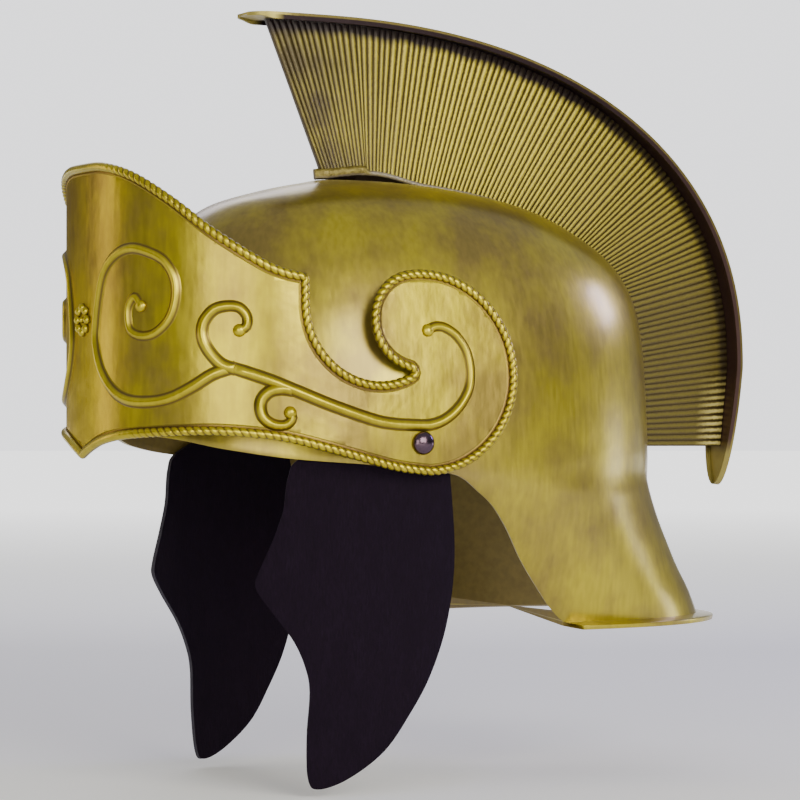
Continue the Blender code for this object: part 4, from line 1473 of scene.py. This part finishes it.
        def section(_: int, row: int) -> tuple[float, float]:
            """Place the strip's skin, always to the inner side of the edge."""
            return -self.rope_radius * self.shadow_line_corners[row][0], self.shadow_line_corners[row][2]

        def tint(_: int, row: int) -> Point:
            """Fade the strip's painted shadow from the rope outward."""
            return self.shadow_line_corners[row % sides][1], 0.0, 0.0

        # a thin strip whose dark tint is painted shadow beside the rope
        builder = self.sweep(loop, section, sides, tint, True)
        return add_piece("visor_shadow_line", builder, (gold,), Body.VISOR, smooth_angle=80.0)

    def build_scroll(self, name: str, knots: Sequence[Point], side: Side, gold: Material) -> Object:
        """Raise one scroll's ridge, thin at its bulb and full at its other end.

        Args:
            name: The piece's name.
            knots: The scroll's knots, its bulb first.
            side: The side of the helmet.
            gold: The material.

        Returns:
            The piece.
        """
        line = Path.smooth([(along * self.band.volute, self.band.hem_z + height * self.band_rise)
                            for along, height in knots], self.curve_steps).even(self.ridge_step)
        last = len(line.points) - 1
        top_sides = self.ridge_sides - 2

        def across(row: int) -> float:
            """Say how far to the side a row lies, from -1 to 1."""
            return 2.0 * row / top_sides - 1.0

        def section(column: int, row: int) -> tuple[float, float]:
            """Place the ridge's bell and its flat underside.

            Args:
                column: The place along the ridge.
                row: The place round it.

            Returns:
                How far to the side and how far out it lies.
            """
            share = column / last
            swell = self.thin_end + (1.0 - self.thin_end) * smooth_step(0.0, self.swell_reach, share)
            fade = smooth_step(0.0, self.fade_reach, 1.0 - share)
            half = self.ridge_half_width * self.ridge_spread * swell
            if row > top_sides:
                return half, -self.ridge_root
            if row in (0, top_sides):
                return half * across(row), -self.ridge_seat * self.ridge_root
            lift = (0.5 + 0.5 * math.cos(math.pi * across(row))) ** self.ridge_fullness
            thickness = self.low_share + (1.0 - self.low_share) * swell
            ending = self.end_share + (1.0 - self.end_share) * fade
            return half * across(row), self.ridge_height * thickness * lift * ending

        def tint(_: int, row: int) -> Point:
            """Paint shade along the ridge's roots and on its underside.

            Args:
                row: The place round the ridge.

            Returns:
                The finish's values.
            """
            # painted shade under the ridge and along its roots
            if row > top_sides:
                return self.ridge_under_shade, 0.0, 0.0
            away = abs(across(row))
            rim = 1.0 - smooth_step(*self.root_outer, away)
            return self.root_shade * smooth_step(*self.root_inner, away) * rim, 0.0, 0.0

        builder = self.sweep(line.points, section, self.ridge_sides, tint, False, side.value)
        self.add_knob(builder, line.points[0], self.knob_radius, side.value)
        return add_piece(name, builder, (gold,), Body.VISOR, smooth_angle=80.0)

    def add_knob(self, builder: bmesh.types.BMesh, centre: Point, radius: float, side: float = 1.0) -> None:
        """Set a low round knob on the band.

        Args:
            builder: The mesh to add it to.
            centre: Its place on the band.
            radius: Its radius.
            side: The side of the helmet, 1 or -1.
        """
        layer = builder.verts.layers.float_color[TINT_LAYER]
        made = bmesh.ops.create_uvsphere(builder, u_segments=20, v_segments=12, radius=1.0)
        for vertex in made["verts"]:
            across, up, out = vertex.co
            # painted shade round the knob's foot
            vertex[layer] = (self.knob_shade * smooth_step(*self.knob_edge, out), 0.0, 0.0, 1.0)
            rise = self.knob_rise * self.ridge_height if out > 0.0 else self.ridge_root
            along, height = side * (centre[0] + radius * across), centre[1] + radius * up
            vertex.co = self.band.place(along, height, out * rise)

    def build_rosette(self, gold: Material) -> Object:
        """Set the ring of beads at the middle of the brow.

        Args:
            gold: The material.

        Returns:
            The piece.
        """
        builder = bmesh.new()
        builder.verts.layers.float_color.new(TINT_LAYER)
        height = self.band.hem_z + self.rosette_height * self.band_rise
        self.add_knob(builder, (0.0, height), self.middle_share * self.petal_radius)
        for k in range(self.petals):
            angle = FULL_TURN * k / self.petals
            centre = (self.rosette_radius * math.cos(angle), height + self.rosette_radius * math.sin(angle))
            self.add_knob(builder, centre, self.petal_radius)
        return add_piece("visor_rosette", builder, (gold,), Body.VISOR, smooth_angle=80.0)

    def build(self) -> None:
        """Build the band and everything raised on it."""
        gold = SatinGold("visor_paint", coat=0.03, edge=(0.85, 0.68, 0.40), dent_share=9.0).make()
        relief = SatinGold("visor_relief_paint", light=(0.56, 0.460, 0.018), dark=(0.44, 0.350, 0.012),
                           coat=0.1, dent_share=0.0).make()
        sheet = self.build_sheet(gold, PlainInside("visor_inside").make())
        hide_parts("visor")
        self.build_rope(relief)
        self.build_shadow_line(gold)
        for side in Side:
            for name, knots in (("front", self.front_scroll), ("middle", self.middle_scroll),
                                ("lower", self.lower_scroll), ("ear", self.ear_scroll)):
                self.build_scroll(f"visor_{name}_scroll_{side.word}", knots, side, relief)
        self.build_rosette(relief)


@dataclass
class Crest:
    """The fluted comb, the cap over it and the foot under it, all on the middle line.

    A fill, a fade or an edge is a pair of values between which something grows from nothing to its full.
    """

    bowl: Bowl
    front_foot: float = 0.0350
    front_tip: float = 0.0636
    height: float = 0.0788
    rear: float = 0.1987
    waist: float = 0.0857
    squareness: float = 2.26
    level_end: float = 0.042
    bottom: float = 0.126
    tuck: float = 0.0044
    curve_steps: int = 90
    ribs: int = 116
    rib_half: float = 0.0019
    valley_half: float = 0.0010
    rib_columns: int = 8
    comb_rows: int = 14
    jitter: float = 0.11
    seed: int = 7
    least_swell: float = 0.80
    most_swell: float = 1.2
    flare: float = 0.25
    flare_height: float = 0.05
    valley_fill: float = 0.55
    front_fill: Point = (0.34, 0.10)
    front_fill_height: Point = (0.60, 0.15)
    rear_fill: Point = (0.55, 0.85)
    rear_fill_height: Point = (1.0, 0.85)
    foot_block: float = 0.0052
    foot_strip: float = 0.0030
    foot_tail: float = 0.0012
    foot_half_width: float = 0.0034
    foot_block_length: float = 0.028
    foot_toe: float = 0.0026
    foot_toe_start: float = -0.0008
    foot_toe_share: float = 0.35
    foot_lift: float = 0.0030
    foot_lift_power: float = 1.6
    foot_lift_length: float = 0.055
    foot_pale_share: float = 0.3
    foot_pale_reach: float = 0.002
    foot_step: float = 0.0015
    foot_sides: int = 16
    foot_roundness: float = 0.6
    lump_height: float = 0.0004
    lump_scale: Point = (70.0, 420.0, 420.0)
    cap_half_width: float = 0.013
    cap_thickness: float = 0.0018
    cap_lip: float = 0.0016
    cap_lip_width: float = 0.0016
    cap_least: float = 0.045
    cap_least_inside: float = 0.6
    cap_curl: float = 0.0022
    cap_tail: float = 0.0195
    cap_tail_ease: float = 1.6
    cap_step: float = 0.004
    cap_end_steps: int = 8
    cap_thinning: float = 0.45
    cap_thinning_reach: float = 0.008
    cap_light_edge: float = 0.36
    cap_light_fade: float = 0.06
    tongue_rear: float = 0.055
    tongue_reach: float = 0.012
    tongue_rear_edge: Point = (0.3, 0.8)
    tongue_rear_share: float = 0.6
    # where the painted shadow under the cap starts, near the rear bottom and behind the front tip
    cap_shadow_rear: Point = (-0.006, 0.004)
    cap_shadow_front: Point = (-0.002, 0.003)
    cap_rounding: float = 0.0004

    rib_spread = ((0.00, 0.00), (0.17, 0.13), (0.35, 0.31), (0.59, 0.57), (0.76, 0.71), (1.00, 1.00))

    def __post_init__(self) -> None:
        """Draw the crest's top line, and the three lines of its foot."""
        self.curve = self.top_line()
        self.foot_root, self.foot_under, self.foot_over = self.foot_lines()

    def top_line(self) -> Path:
        """Draw the top line in the side view, from the front tip back and down to the neck.

        Returns:
            The line.
        """
        points = [(-self.front_tip, self.height), (-(self.front_tip + self.level_end) / 2, self.height)]
        power = 2.0 / self.squareness
        across = self.rear + self.level_end
        for k in range(self.curve_steps + 1):
            angle = QUARTER_TURN * (1.0 - k / self.curve_steps)
            reach = abs(math.cos(angle)) ** power if k else 0.0
            rise = abs(math.sin(angle)) ** power if k < self.curve_steps else 0.0
            points.append((across * reach - self.level_end, (self.height + self.waist) * rise - self.waist))
        points.append((self.rear - self.tuck / 2, -(self.waist + self.bottom) / 2))
        points.append((self.rear - self.tuck, -self.bottom))
        return Path(points)

    def foot_lines(self) -> tuple[Path, Path, Path]:
        """Draw the foot in the side view.

        Returns:
            Its root on the bowl, which carries a painted shadow, its underside and its top.
        """
        start = -self.front_foot - self.foot_toe
        line = self.bowl.back_line(-self.bottom).behind(start).even(self.foot_step)
        under = []
        over = []
        last = len(line.points) - 1
        for index, (y, _) in enumerate(line.points):
            ahead = y + self.front_foot + self.foot_toe
            turn = min(max((ahead - self.foot_toe) / self.foot_lift_length, 0.0), 1.0)
            under.append(SEAT_GAP + self.foot_lift * math.sin(math.pi * turn) ** self.foot_lift_power)
            block = smooth_step(self.foot_block_length, self.foot_block_length - self.foot_toe, ahead)
            thickness = self.foot_strip + (self.foot_tail - self.foot_strip) * index / last
            over.append(max(thickness, self.foot_block * block) + under[-1])
        return line.offset(SEAT_GAP), line.offset(under), line.offset(over)

    def rib_stations(self) -> list[tuple[float, float, float, float]]:
        """List places along the comb, several to each rib, the ribs a little uneven.

        Returns:
            For each, its share of the crest, its roundness, its rib's size and its rise above the valley.
        """
        luck = random.Random(self.seed)
        valleys = [index / self.ribs for index in range(self.ribs + 1)]
        for index in range(1, self.ribs):
            valleys[index] += self.jitter * luck.uniform(-1.0, 1.0) / self.ribs
        swell = [luck.uniform(self.least_swell, 1.0) for _ in range(self.ribs)]
        stations = []
        for rib in range(self.ribs):
            for step in range(self.rib_columns):
                turn = 0.5 - 0.5 * math.cos(math.pi * step / self.rib_columns)
                share = valleys[rib] + (valleys[rib + 1] - valleys[rib]) * turn
                aside = abs(2.0 * turn - 1.0)
                stations.append((share, math.sqrt(1.0 - aside ** 2), swell[rib], 1.0 - aside))
        return stations + [(1.0, 0.0, 1.0, 0.0)]

    def build_comb(self) -> Object:
        """Build the fluted plate, each rib a rounded bar from the foot to the cap.

        Returns:
            The piece.
        """
        base = self.foot_over.offset(-SEAT_GAP).behind(-self.front_foot)
        outer = self.curve.offset(-(self.cap_thickness + SEAT_GAP))
        stations = self.rib_stations()
        ring = 2 * self.comb_rows + 2

        def share_up(row: int) -> float:
            """Say how far up the comb a row lies."""
            place = row % ring
            return (place if place <= self.comb_rows else ring - 1 - place) / self.comb_rows

        def place(column: int, row: int) -> Vector:
            """Find a point of the comb.

            Args:
                column: The place along the comb.
                row: The place up one face and down the other.

            Returns:
                The point.
            """
            share, round_share, size, _ = stations[column]
            up = share_up(row)
            foot_share = table_value(self.rib_spread, share)
            low = Vector(base.at(base.total * foot_share))
            high = Vector(outer.at(outer.total * share))
            point = low + (high - low) * up
            flare = 1.0 + self.flare * smooth_step(self.flare_height, 0.0, up)
            front = smooth_step(*self.front_fill, share) * smooth_step(*self.front_fill_height, up)
            rear = smooth_step(*self.rear_fill, share) * smooth_step(*self.rear_fill_height, up)
            round_share += self.valley_fill * max(front, rear) * (1.0 - round_share)
            half = self.valley_half + (self.rib_half - self.valley_half) * round_share * size * flare
            half = min(half, self.rib_half * self.most_swell)
            across = half if row % ring <= self.comb_rows else -half
            return Vector((across, point[0], point[1]))

        def tint(column: int, row: int) -> Point:
            """Tell the finish the rib's rise, the height and the place along the crest."""
            return stations[column][3], share_up(row), stations[column][0]

        builder = mapped_grid(len(stations) - 1, ring, place, tint)
        close_ends(builder)
        comb = add_piece("crest_ribs", builder, (FlutedGold("comb_paint").make(),), Body.HELMET,
                         smooth_angle=60.0)
        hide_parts("crest_comb")
        return comb

    def cap_stations(self) -> list[tuple[Point, float, float]]:
        """List places along the cap, from the tip of its front tongue to the tip of its rear one.

        Returns:
            For each, its place in the side view, its half width and how pale a tongue makes it.
        """
        line = self.curve.even(self.cap_step).points
        stations = []
        for k in range(1, self.cap_end_steps + 1):
            share = k / (self.cap_end_steps + 1)
            point = (line[0][0] - self.cap_half_width * (1.0 - share), line[0][1])
            stations.append((point, self.cap_half_width * math.sqrt(1.0 - (1.0 - share) ** 2), 1.0))
        bottom = -self.bottom - self.cap_tail
        tail = []
        for k in range(1, self.cap_end_steps + 1):
            share = 1.0 - (1.0 - k / self.cap_end_steps) ** self.cap_tail_ease
            tail.append((self.rear - self.tuck - self.cap_curl * share, -self.bottom - self.cap_tail * share))
        for point in line + tail:
            down = max(0.0, 1.0 - (point[1] - bottom) / self.tongue_rear) if point[0] > 0 else 0.0
            half = self.cap_half_width * max(math.sqrt(max(0.0, 1.0 - down ** 2)), self.cap_least)
            front = smooth_step(-self.front_tip + self.tongue_reach, -self.front_tip, point[0])
            rear = self.tongue_rear_share * smooth_step(*self.tongue_rear_edge, down)
            stations.append((point, half, max(front, rear)))
        return stations

    def build_cap(self) -> Object:
        """Build the band over the comb, with a small lip down each side.

        Returns:
            The piece.
        """
        stations = self.cap_stations()
        line = Path([point for point, _, _ in stations])
        under = line.offset(-self.cap_thickness).points
        lips = line.offset(-self.cap_thickness - self.cap_lip).points
        cap_shadow_rear = [-self.bottom + reach for reach in self.cap_shadow_rear]
        cap_shadow_front = [-self.front_tip + reach for reach in self.cap_shadow_front]

        def skin(column: int) -> list[tuple[float, Point, float]]:
            """List the section's corners.

            Args:
                column: The place along the cap.

            Returns:
                For each, how far across it lies, its place in the side view and its painted shadow.
            """
            top, half, _ = stations[column]
            inside = max(half - self.cap_lip_width, self.cap_least_inside * half)
            ahead = smooth_step(-self.front_tip, -self.front_tip - self.cap_thinning_reach, top[0])
            thin = 1.0 - self.cap_thinning * ahead
            low = part_way(top, under[column], thin)
            lip = part_way(top, lips[column], thin)
            line_end = part_way(top, lip, self.cap_light_edge)
            side = part_way(top, lip, self.cap_light_edge + self.cap_light_fade)
            # painted shadow down the cap's sides and under it, fading at the rear bottom and the front tip
            cap_shadow = smooth_step(*cap_shadow_rear, top[1]) * smooth_step(*cap_shadow_front, top[0])
            dark = [(half, line_end, 0.0), (half, side, cap_shadow), (half, lip, cap_shadow), (inside, lip, cap_shadow),
                    (inside, low, cap_shadow)]
            mirrored = [(-across, spot, shade) for across, spot, shade in reversed(dark)]
            pale = [(across, top, 0.0) for across in (-half, 0.0, half)]
            return dark + [(0.0, low, cap_shadow)] + mirrored + pale

        sides = len(skin(0))

        def place(column: int, row: int) -> Vector:
            """Find a point of the cap's section."""
            across, (y, z), _ = skin(column)[row % sides]
            return Vector((across, y, z))

        def tint(column: int, row: int) -> Point:
            """Mark the painted shadow under the cap, the tongues and the way along."""
            return skin(column)[row % sides][2], stations[column][2], column / len(stations)

        builder = mapped_grid(len(stations) - 1, sides, place, tint)
        close_ends(builder)
        cap = add_piece("crest_band", builder, (CapGold("cap_paint").make(),), Body.HELMET)
        soften_edges(cap, self.cap_rounding, angle=40.0)
        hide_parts("crest_cap")
        return cap

    def build_foot(self) -> Object:
        """Build the rounded block and the thinning strip under the comb.

        Returns:
            The piece.
        """
        under = self.foot_under.points
        over = self.foot_over.points
        root = self.foot_root.points
        sides = self.foot_sides
        lowest = 3 * sides // 4
        block_end = self.foot_block_length

        def rounded(row: int) -> tuple[float, float]:
            """Find how far across and up the section a row lies.

            Args:
                row: The place round the section.

            Returns:
                The way across from -1 to 1, and the way up from 0 to 1.
            """
            angle = FULL_TURN * (row + 0.5) / sides
            up = 0.5 + 0.5 * signed_power(math.sin(angle), self.foot_roundness)
            return signed_power(math.cos(angle), self.foot_roundness), up

        def place(column: int, row: int) -> Vector:
            """Find a point of the foot's rounded section.

            Args:
                column: The place along the foot.
                row: The place round it.

            Returns:
                The point. The two lowest rows lie on the root, between the foot and the bowl, where they
                carry a painted shadow.
            """
            across, up = rounded(row)
            # the two lowest rows drop to the root and close the gap with a painted shadow
            low = root[column] if row % sides in (lowest - 1, lowest) else under[column]
            high = over[column]
            y = low[0] + (high[0] - low[0]) * up
            z = low[1] + (high[1] - low[1]) * up
            ahead = y + self.front_foot + self.foot_toe
            block = smooth_step(block_end, block_end - 2 * self.foot_toe, ahead)
            across_scale, along_scale, up_scale = self.lump_scale
            bumps = noise.noise(Vector((across_scale * across, along_scale * y, up_scale * z)))
            lump = self.lump_height * block * bumps
            toe = smooth_step(self.foot_toe_start, 2.0 * self.foot_toe, ahead)
            toe = self.foot_toe_share + (1.0 - self.foot_toe_share) * toe
            return Vector((self.foot_half_width * across * toe + lump * across, y, z + lump))

        def tint(column: int, row: int) -> Point:
            """Turn the block's olive into the strip's grey behind and below it, and paint shadow on the root.

            Args:
                column: The place along the foot.
                row: The place round it.

            Returns:
                The finish's values.
            """
            ahead = under[column][0] + self.front_foot + self.foot_toe
            strip = smooth_step(block_end - self.foot_pale_reach, block_end + self.foot_pale_reach, ahead)
            if rounded(row)[1] < self.foot_pale_share:
                strip = 1.0
            # painted shadow on the rows at the root
            shaded_beneath = lowest - 2 <= row % sides <= lowest + 1
            return strip, 1.0 if shaded_beneath else 0.0, 0.0

        builder = mapped_grid(len(under) - 1, sides, place, tint)
        close_ends(builder)
        foot = add_piece("crest_base", builder, (FootGold("foot_paint").make(),), Body.HELMET,
                         smooth_angle=60.0)
        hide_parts("crest_foot")
        return foot

    def build(self) -> None:
        """Build the foot, the comb and the cap."""
        self.build_foot()
        self.build_comb()
        self.build_cap()


@dataclass
class Flap:
    """A soft cheek flap, held by the rivet inside the bowl.

    A knot's first value is a share of the flap's width ahead of its rear edge, its second a share of its
    length below the bowl's rim, or of its tuck above the rim.
    """

    bowl: Bowl
    band: Band
    thickness: float = 0.002
    length: float = 0.141
    width: float = 0.088
    tuck: float = 0.028
    gap: float = 0.0014
    inward: float = 0.010
    dome_turn: float = 0.16
    rear_share: float = 0.2
    rim_share: float = 0.034
    hang_power: float = 1.5
    curve_steps: int = 8
    step: float = 0.0026
    ripple: float = 0.0004
    ripple_scale: Point = (38.0, 16.0)
    ripple_drop: Point = (0.02, 0.09)
    edge_rounding: float = 0.0007

    knots = ((0.000, 0.000), (-0.035, 0.260), (-0.005, 0.470), (0.078, 0.640), (0.190, 0.770),
             (0.320, 0.885), (0.505, 0.970), (0.650, 1.000), (0.700, 0.965), (0.715, 0.830), (0.710, 0.690),
             (0.735, 0.610), (0.800, 0.520), (0.915, 0.418), (0.975, 0.355), (0.968, 0.310), (0.910, 0.210),
             (0.862, 0.110), (0.840, 0.000))
    tuck_knots = ((0.78, 0.30), (0.50, 0.68), (0.25, 1.00), (0.08, 0.85))

    def face(self, y: float, z: float) -> float:
        """Say how far out the flap's outer face lies.

        Args:
            y: The place from front to back.
            z: The height.

        Returns:
            The distance from the middle of the helmet.
        """
        half_length = self.bowl.half_length - self.bowl.wall
        share = max(0.0, 1.0 - abs(y / half_length) ** self.bowl.squareness)
        wall = (self.bowl.half_width - self.bowl.wall) * share ** (1.0 / self.bowl.squareness) - self.gap
        up = max(0.0, z - self.bowl.dome_foot) / self.bowl.dome_height
        hang = max(0.0, self.bowl.dome_foot - z) / self.length
        return wall - self.dome_turn * self.bowl.half_width * up ** 2 - self.inward * hang ** self.hang_power

    def outline(self) -> list[Point]:
        """Draw the flap's edge in the side view.

        Returns:
            Its points.
        """
        rear = -self.band.pivot_ahead + self.rear_share * self.width
        rim = self.bowl.dome_foot - self.rim_share * self.bowl.dome_height
        points = [(rear - along * self.width, rim - height * self.length) for along, height in self.knots]
        points += [(rear - along * self.width, rim + height * self.tuck) for along, height in self.tuck_knots]
        return Path.smooth(points + points[:1], self.curve_steps).points[:-1]

    def build(self, side: Side, cloth: Material, edge: Material) -> Object:
        """Cut the flap and hang it.

        Args:
            side: The side of the helmet.
            cloth: The cloth's material.
            edge: The cut edge's material, paler as a painted highlight.

        Returns:
            The piece.
        """
        outline = self.outline()
        builder = flat_sheet(outline, self.step, self.step)
        area = sum(face.calc_area() for face in builder.faces)
        starts, full = (self.bowl.dome_foot - drop for drop in self.ripple_drop)
        for vertex in builder.verts:
            y, z = vertex.co.x, vertex.co.y
            spot = Vector((y * self.ripple_scale[0], z * self.ripple_scale[1], 0.0))
            wave = self.ripple * smooth_step(starts, full, z) * noise.noise(spot)
            vertex.co = (side.value * (self.face(y, z) + wave), y, z)
        node = "cheek_flap_" + side.word
        flap = add_piece(node + "_cloth", builder, (cloth, edge), Body.HELMET,
                         is_sheet=True)
        add_wall(flap, self.thickness, rim_offset=1)
        soften_edges(flap, self.edge_rounding, segments=3, angle=60.0)
        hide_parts(node)
        return flap


@dataclass
class Rivet:
    """A domed rivet through the visor, the bowl and the flap, with its flat back inside."""

    band: Band
    flap: Flap
    head_radius: float = 0.0053
    head_height: float = 0.0034
    head_lip: float = 0.0004
    head_taper: float = 0.97
    shank_radius: float = 0.0024
    back_radius: float = 0.0055
    back_thickness: float = 0.0015
    back_taper: float = 0.9
    dome_steps: int = 12
    turns: int = 40

    def profile(self) -> list[Point]:
        """Draw the rivet's outline.

        Returns:
            Its points, each a distance out and a radius, from the top of the head to the middle of the back.
        """
        pivot_y = -self.band.pivot_ahead
        seat = self.band.place(self.band.pivot, self.band.pivot_z, 0.0).x + SEAT_GAP
        back = self.flap.face(pivot_y - self.back_radius, self.band.pivot_z)
        back -= self.flap.thickness + 2 * SEAT_GAP
        end = back - self.back_thickness
        dome = []
        for k in range(self.dome_steps + 1):
            angle = QUARTER_TURN * (1.0 - k / self.dome_steps)
            dome.append((seat + self.head_lip + (self.head_height - self.head_lip) * math.sin(angle),
                         self.head_radius * math.cos(angle)))
        return dome + [(seat, self.head_taper * self.head_radius), (seat, self.shank_radius),
                       (back, self.shank_radius), (back, self.back_radius),
                       (end, self.back_taper * self.back_radius), (end, 0.0)]

    def build(self, side: Side, plate: Material) -> Object:
        """Turn the rivet on its axis.

        Args:
            side: The side of the helmet.
            plate: The material, its chrome darkened as a painted reflection.

        Returns:
            The piece.
        """
        pivot_y = -self.band.pivot_ahead
        centre = Vector((0.0, pivot_y, self.band.pivot_z))
        builder = bmesh.new()
        made = [builder.verts.new((side.value * x, pivot_y, self.band.pivot_z + radius))
                for x, radius in self.profile()]
        edges = [builder.edges.new(pair) for pair in zip(made, made[1:])]
        bmesh.ops.spin(builder, geom=made + edges, cent=centre, axis=(1.0, 0.0, 0.0), angle=FULL_TURN,
                       steps=self.turns, use_merge=True)
        bmesh.ops.remove_doubles(builder, verts=builder.verts, dist=MERGE)
        rivet = add_piece("rivet_head_" + side.word, builder, (plate,), Body.HELMET,
                          smooth_angle=50.0)
        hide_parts("rivet_" + side.word)
        return rivet


@dataclass
class Studio:
    """The floor, the sky, the lights and the camera.

    A light has its name, its place to the right, up and back as the camera sees them, its width and height,
    its power and its colour. The haze and the backdrop are pairs of cosines, measured from straight up and
    from straight ahead, between which the sky changes.
    """

    target: Point = (0.00338, 0.03776, -0.1023)
    azimuth: float = 62.0
    distance: float = 1.400
    lens: float = 131.25
    sensor: float = 36.0
    floor_radius: float = 9.0
    floor_gap: float = 0.004
    floor_sides: int = 96
    sky: Point = (0.97, 0.97, 1.0)
    sky_strength: float = 0.46
    haze: Point = (0.65, 0.1)
    haze_strength: float = 0.16
    backdrop: Point = (0.965, 0.982)
    backdrop_strength: float = 1.7

    lights = (
        ("key_right", (1.28, 0.52, -0.54), (0.26, 0.30), 6.4, (0.42, 0.37, 1.0)),
        ("neck_right", (1.35, -0.12, -0.46), (0.30, 0.24), 1.5, (0.95, 0.94, 1.0)),
        ("front_right", (0.85, 0.46, 1.28), (1.0, 0.8), 22.0, (1.0, 0.97, 0.84)),
        ("front_left", (-0.30, 0.12, 1.50), (0.8, 0.9), 10.5, (1.0, 0.96, 0.78)),
        ("left", (-1.40, 0.12, -0.30), (0.35, 1.0), 3.0, (1.0, 0.80, 0.46)),
        ("rim_top", (-0.15, 0.80, -1.25), (1.1, 0.4), 4.0, (0.82, 0.80, 1.0)),
    )

    def axes(self) -> tuple[Vector, Vector, Vector]:
        """Work out the camera's directions.

        Returns:
            Its right, up and back.
        """
        turn = math.radians(self.azimuth)
        return (Vector((math.cos(turn), math.sin(turn), 0.0)), Vector((0.0, 0.0, 1.0)),
                Vector((math.sin(turn), -math.cos(turn), 0.0)))

    def aim(self, item: Object, location: Vector) -> None:
        """Set an object down and turn it to the target.

        Args:
            item: The object.
            location: Where it goes.
        """
        item.location = location
        item.rotation_mode = "QUATERNION"
        item.rotation_quaternion = (Vector(self.target) - location).to_track_quat("-Z", "Y")
        bpy.context.scene.collection.objects.link(item)

    def build_camera(self) -> None:
        """Set the camera at the photograph's angle."""
        data = bpy.data.cameras.new("camera")
        data.lens = self.lens
        data.sensor_width = self.sensor
        camera = bpy.data.objects.new("camera", data)
        self.aim(camera, Vector(self.target) + self.axes()[2] * self.distance)
        bpy.context.scene.camera = camera

    def build_lights(self) -> None:
        """Hang the soft lights."""
        right, up, back = self.axes()
        for name, (to_right, to_top, to_back), (wide, tall), power, colour in self.lights:
            data = bpy.data.lights.new(name, "AREA")
            data.shape = "RECTANGLE"
            data.size = wide
            data.size_y = tall
            data.energy = power
            data.color = colour
            lamp = bpy.data.objects.new(name, data)
            lamp.visible_camera = False
            self.aim(lamp, Vector(self.target) + right * to_right + up * to_top + back * to_back)

    def build_sky(self) -> None:
        """Light the sky, darker near the horizon and palest behind the helmet."""
        world = bpy.data.worlds.new("sky")
        world.use_nodes = True
        nodes = world.node_tree.nodes
        links = world.node_tree.links
        background = nodes["Background"]
        background.inputs["Color"].default_value = (*self.sky, 1.0)
        heading = nodes.new("ShaderNodeTexCoord").outputs["Generated"]
        total = nodes.new("ShaderNodeMath")
        _, up, back = self.axes()
        for socket, direction, (low, high), weak, strong in (
                (total.inputs[0], up, self.haze, self.sky_strength, self.haze_strength),
                (total.inputs[1], -back, self.backdrop, 0.0, self.backdrop_strength)):
            share = nodes.new("ShaderNodeVectorMath")
            share.operation = "DOT_PRODUCT"
            share.inputs[1].default_value = direction
            links.new(heading, share.inputs[0])
            fade = nodes.new("ShaderNodeMapRange")
            fade.interpolation_type = "SMOOTHSTEP"
            for name, value in (("From Min", low), ("From Max", high), ("To Min", weak), ("To Max", strong)):
                fade.inputs[name].default_value = value
            links.new(share.outputs["Value"], fade.inputs["Value"])
            links.new(fade.outputs["Result"], socket)
        links.new(total.outputs[0], background.inputs["Strength"])
        bpy.context.scene.world = world

    def build_floor(self, lowest: float) -> None:
        """Lay the floor just under the helmet.

        Args:
            lowest: The height of the helmet's lowest point.
        """
        builder = bmesh.new()
        bmesh.ops.create_circle(builder, cap_ends=True, segments=self.floor_sides, radius=self.floor_radius)
        bmesh.ops.translate(builder, verts=builder.verts, vec=(0.0, 0.0, lowest - self.floor_gap))
        mesh = bpy.data.meshes.new("floor")
        builder.to_mesh(mesh)
        builder.free()
        mesh.materials.append(PaleFloor(tuple(-self.axes()[2])).make())
        floor = bpy.data.objects.new("floor", mesh)
        bpy.context.scene.collection.objects.link(floor)

    def build(self, lowest: float) -> None:
        """Build the studio round the helmet.

        Args:
            lowest: The height of the helmet's lowest point.
        """
        self.build_camera()
        self.build_lights()
        self.build_sky()
        self.build_floor(lowest)


def main() -> None:
    """Build the helmet and its studio."""
    logging.basicConfig(level=logging.INFO, format="%(name)s: %(message)s")
    Studio().build(CAD_BOX[0][2])
    bowl = Bowl()
    band = Band()
    bowl.build()
    Visor(band).build()
    Crest(bowl).build()
    flap = Flap(bowl, band)
    rivet = Rivet(band, flap)
    for side in Side:
        # the rivet's chrome is darkened as a painted reflection
        rivet.build(side, ChromeWithPaintedReflection("rivet_plate_" + side.word).make())
        # painted highlight: the flaps' cut edges take a paler, greyer cloth
        edge_highlight = NappedCloth("flap_edge_highlight_" + side.word, base=(0.035, 0.032, 0.045), nap=(0.085, 0.08, 0.10))
        flap.build(side, NappedCloth("flap_nap_" + side.word).make(), edge_highlight.make())
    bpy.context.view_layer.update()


if __name__ == "__main__":
    main()
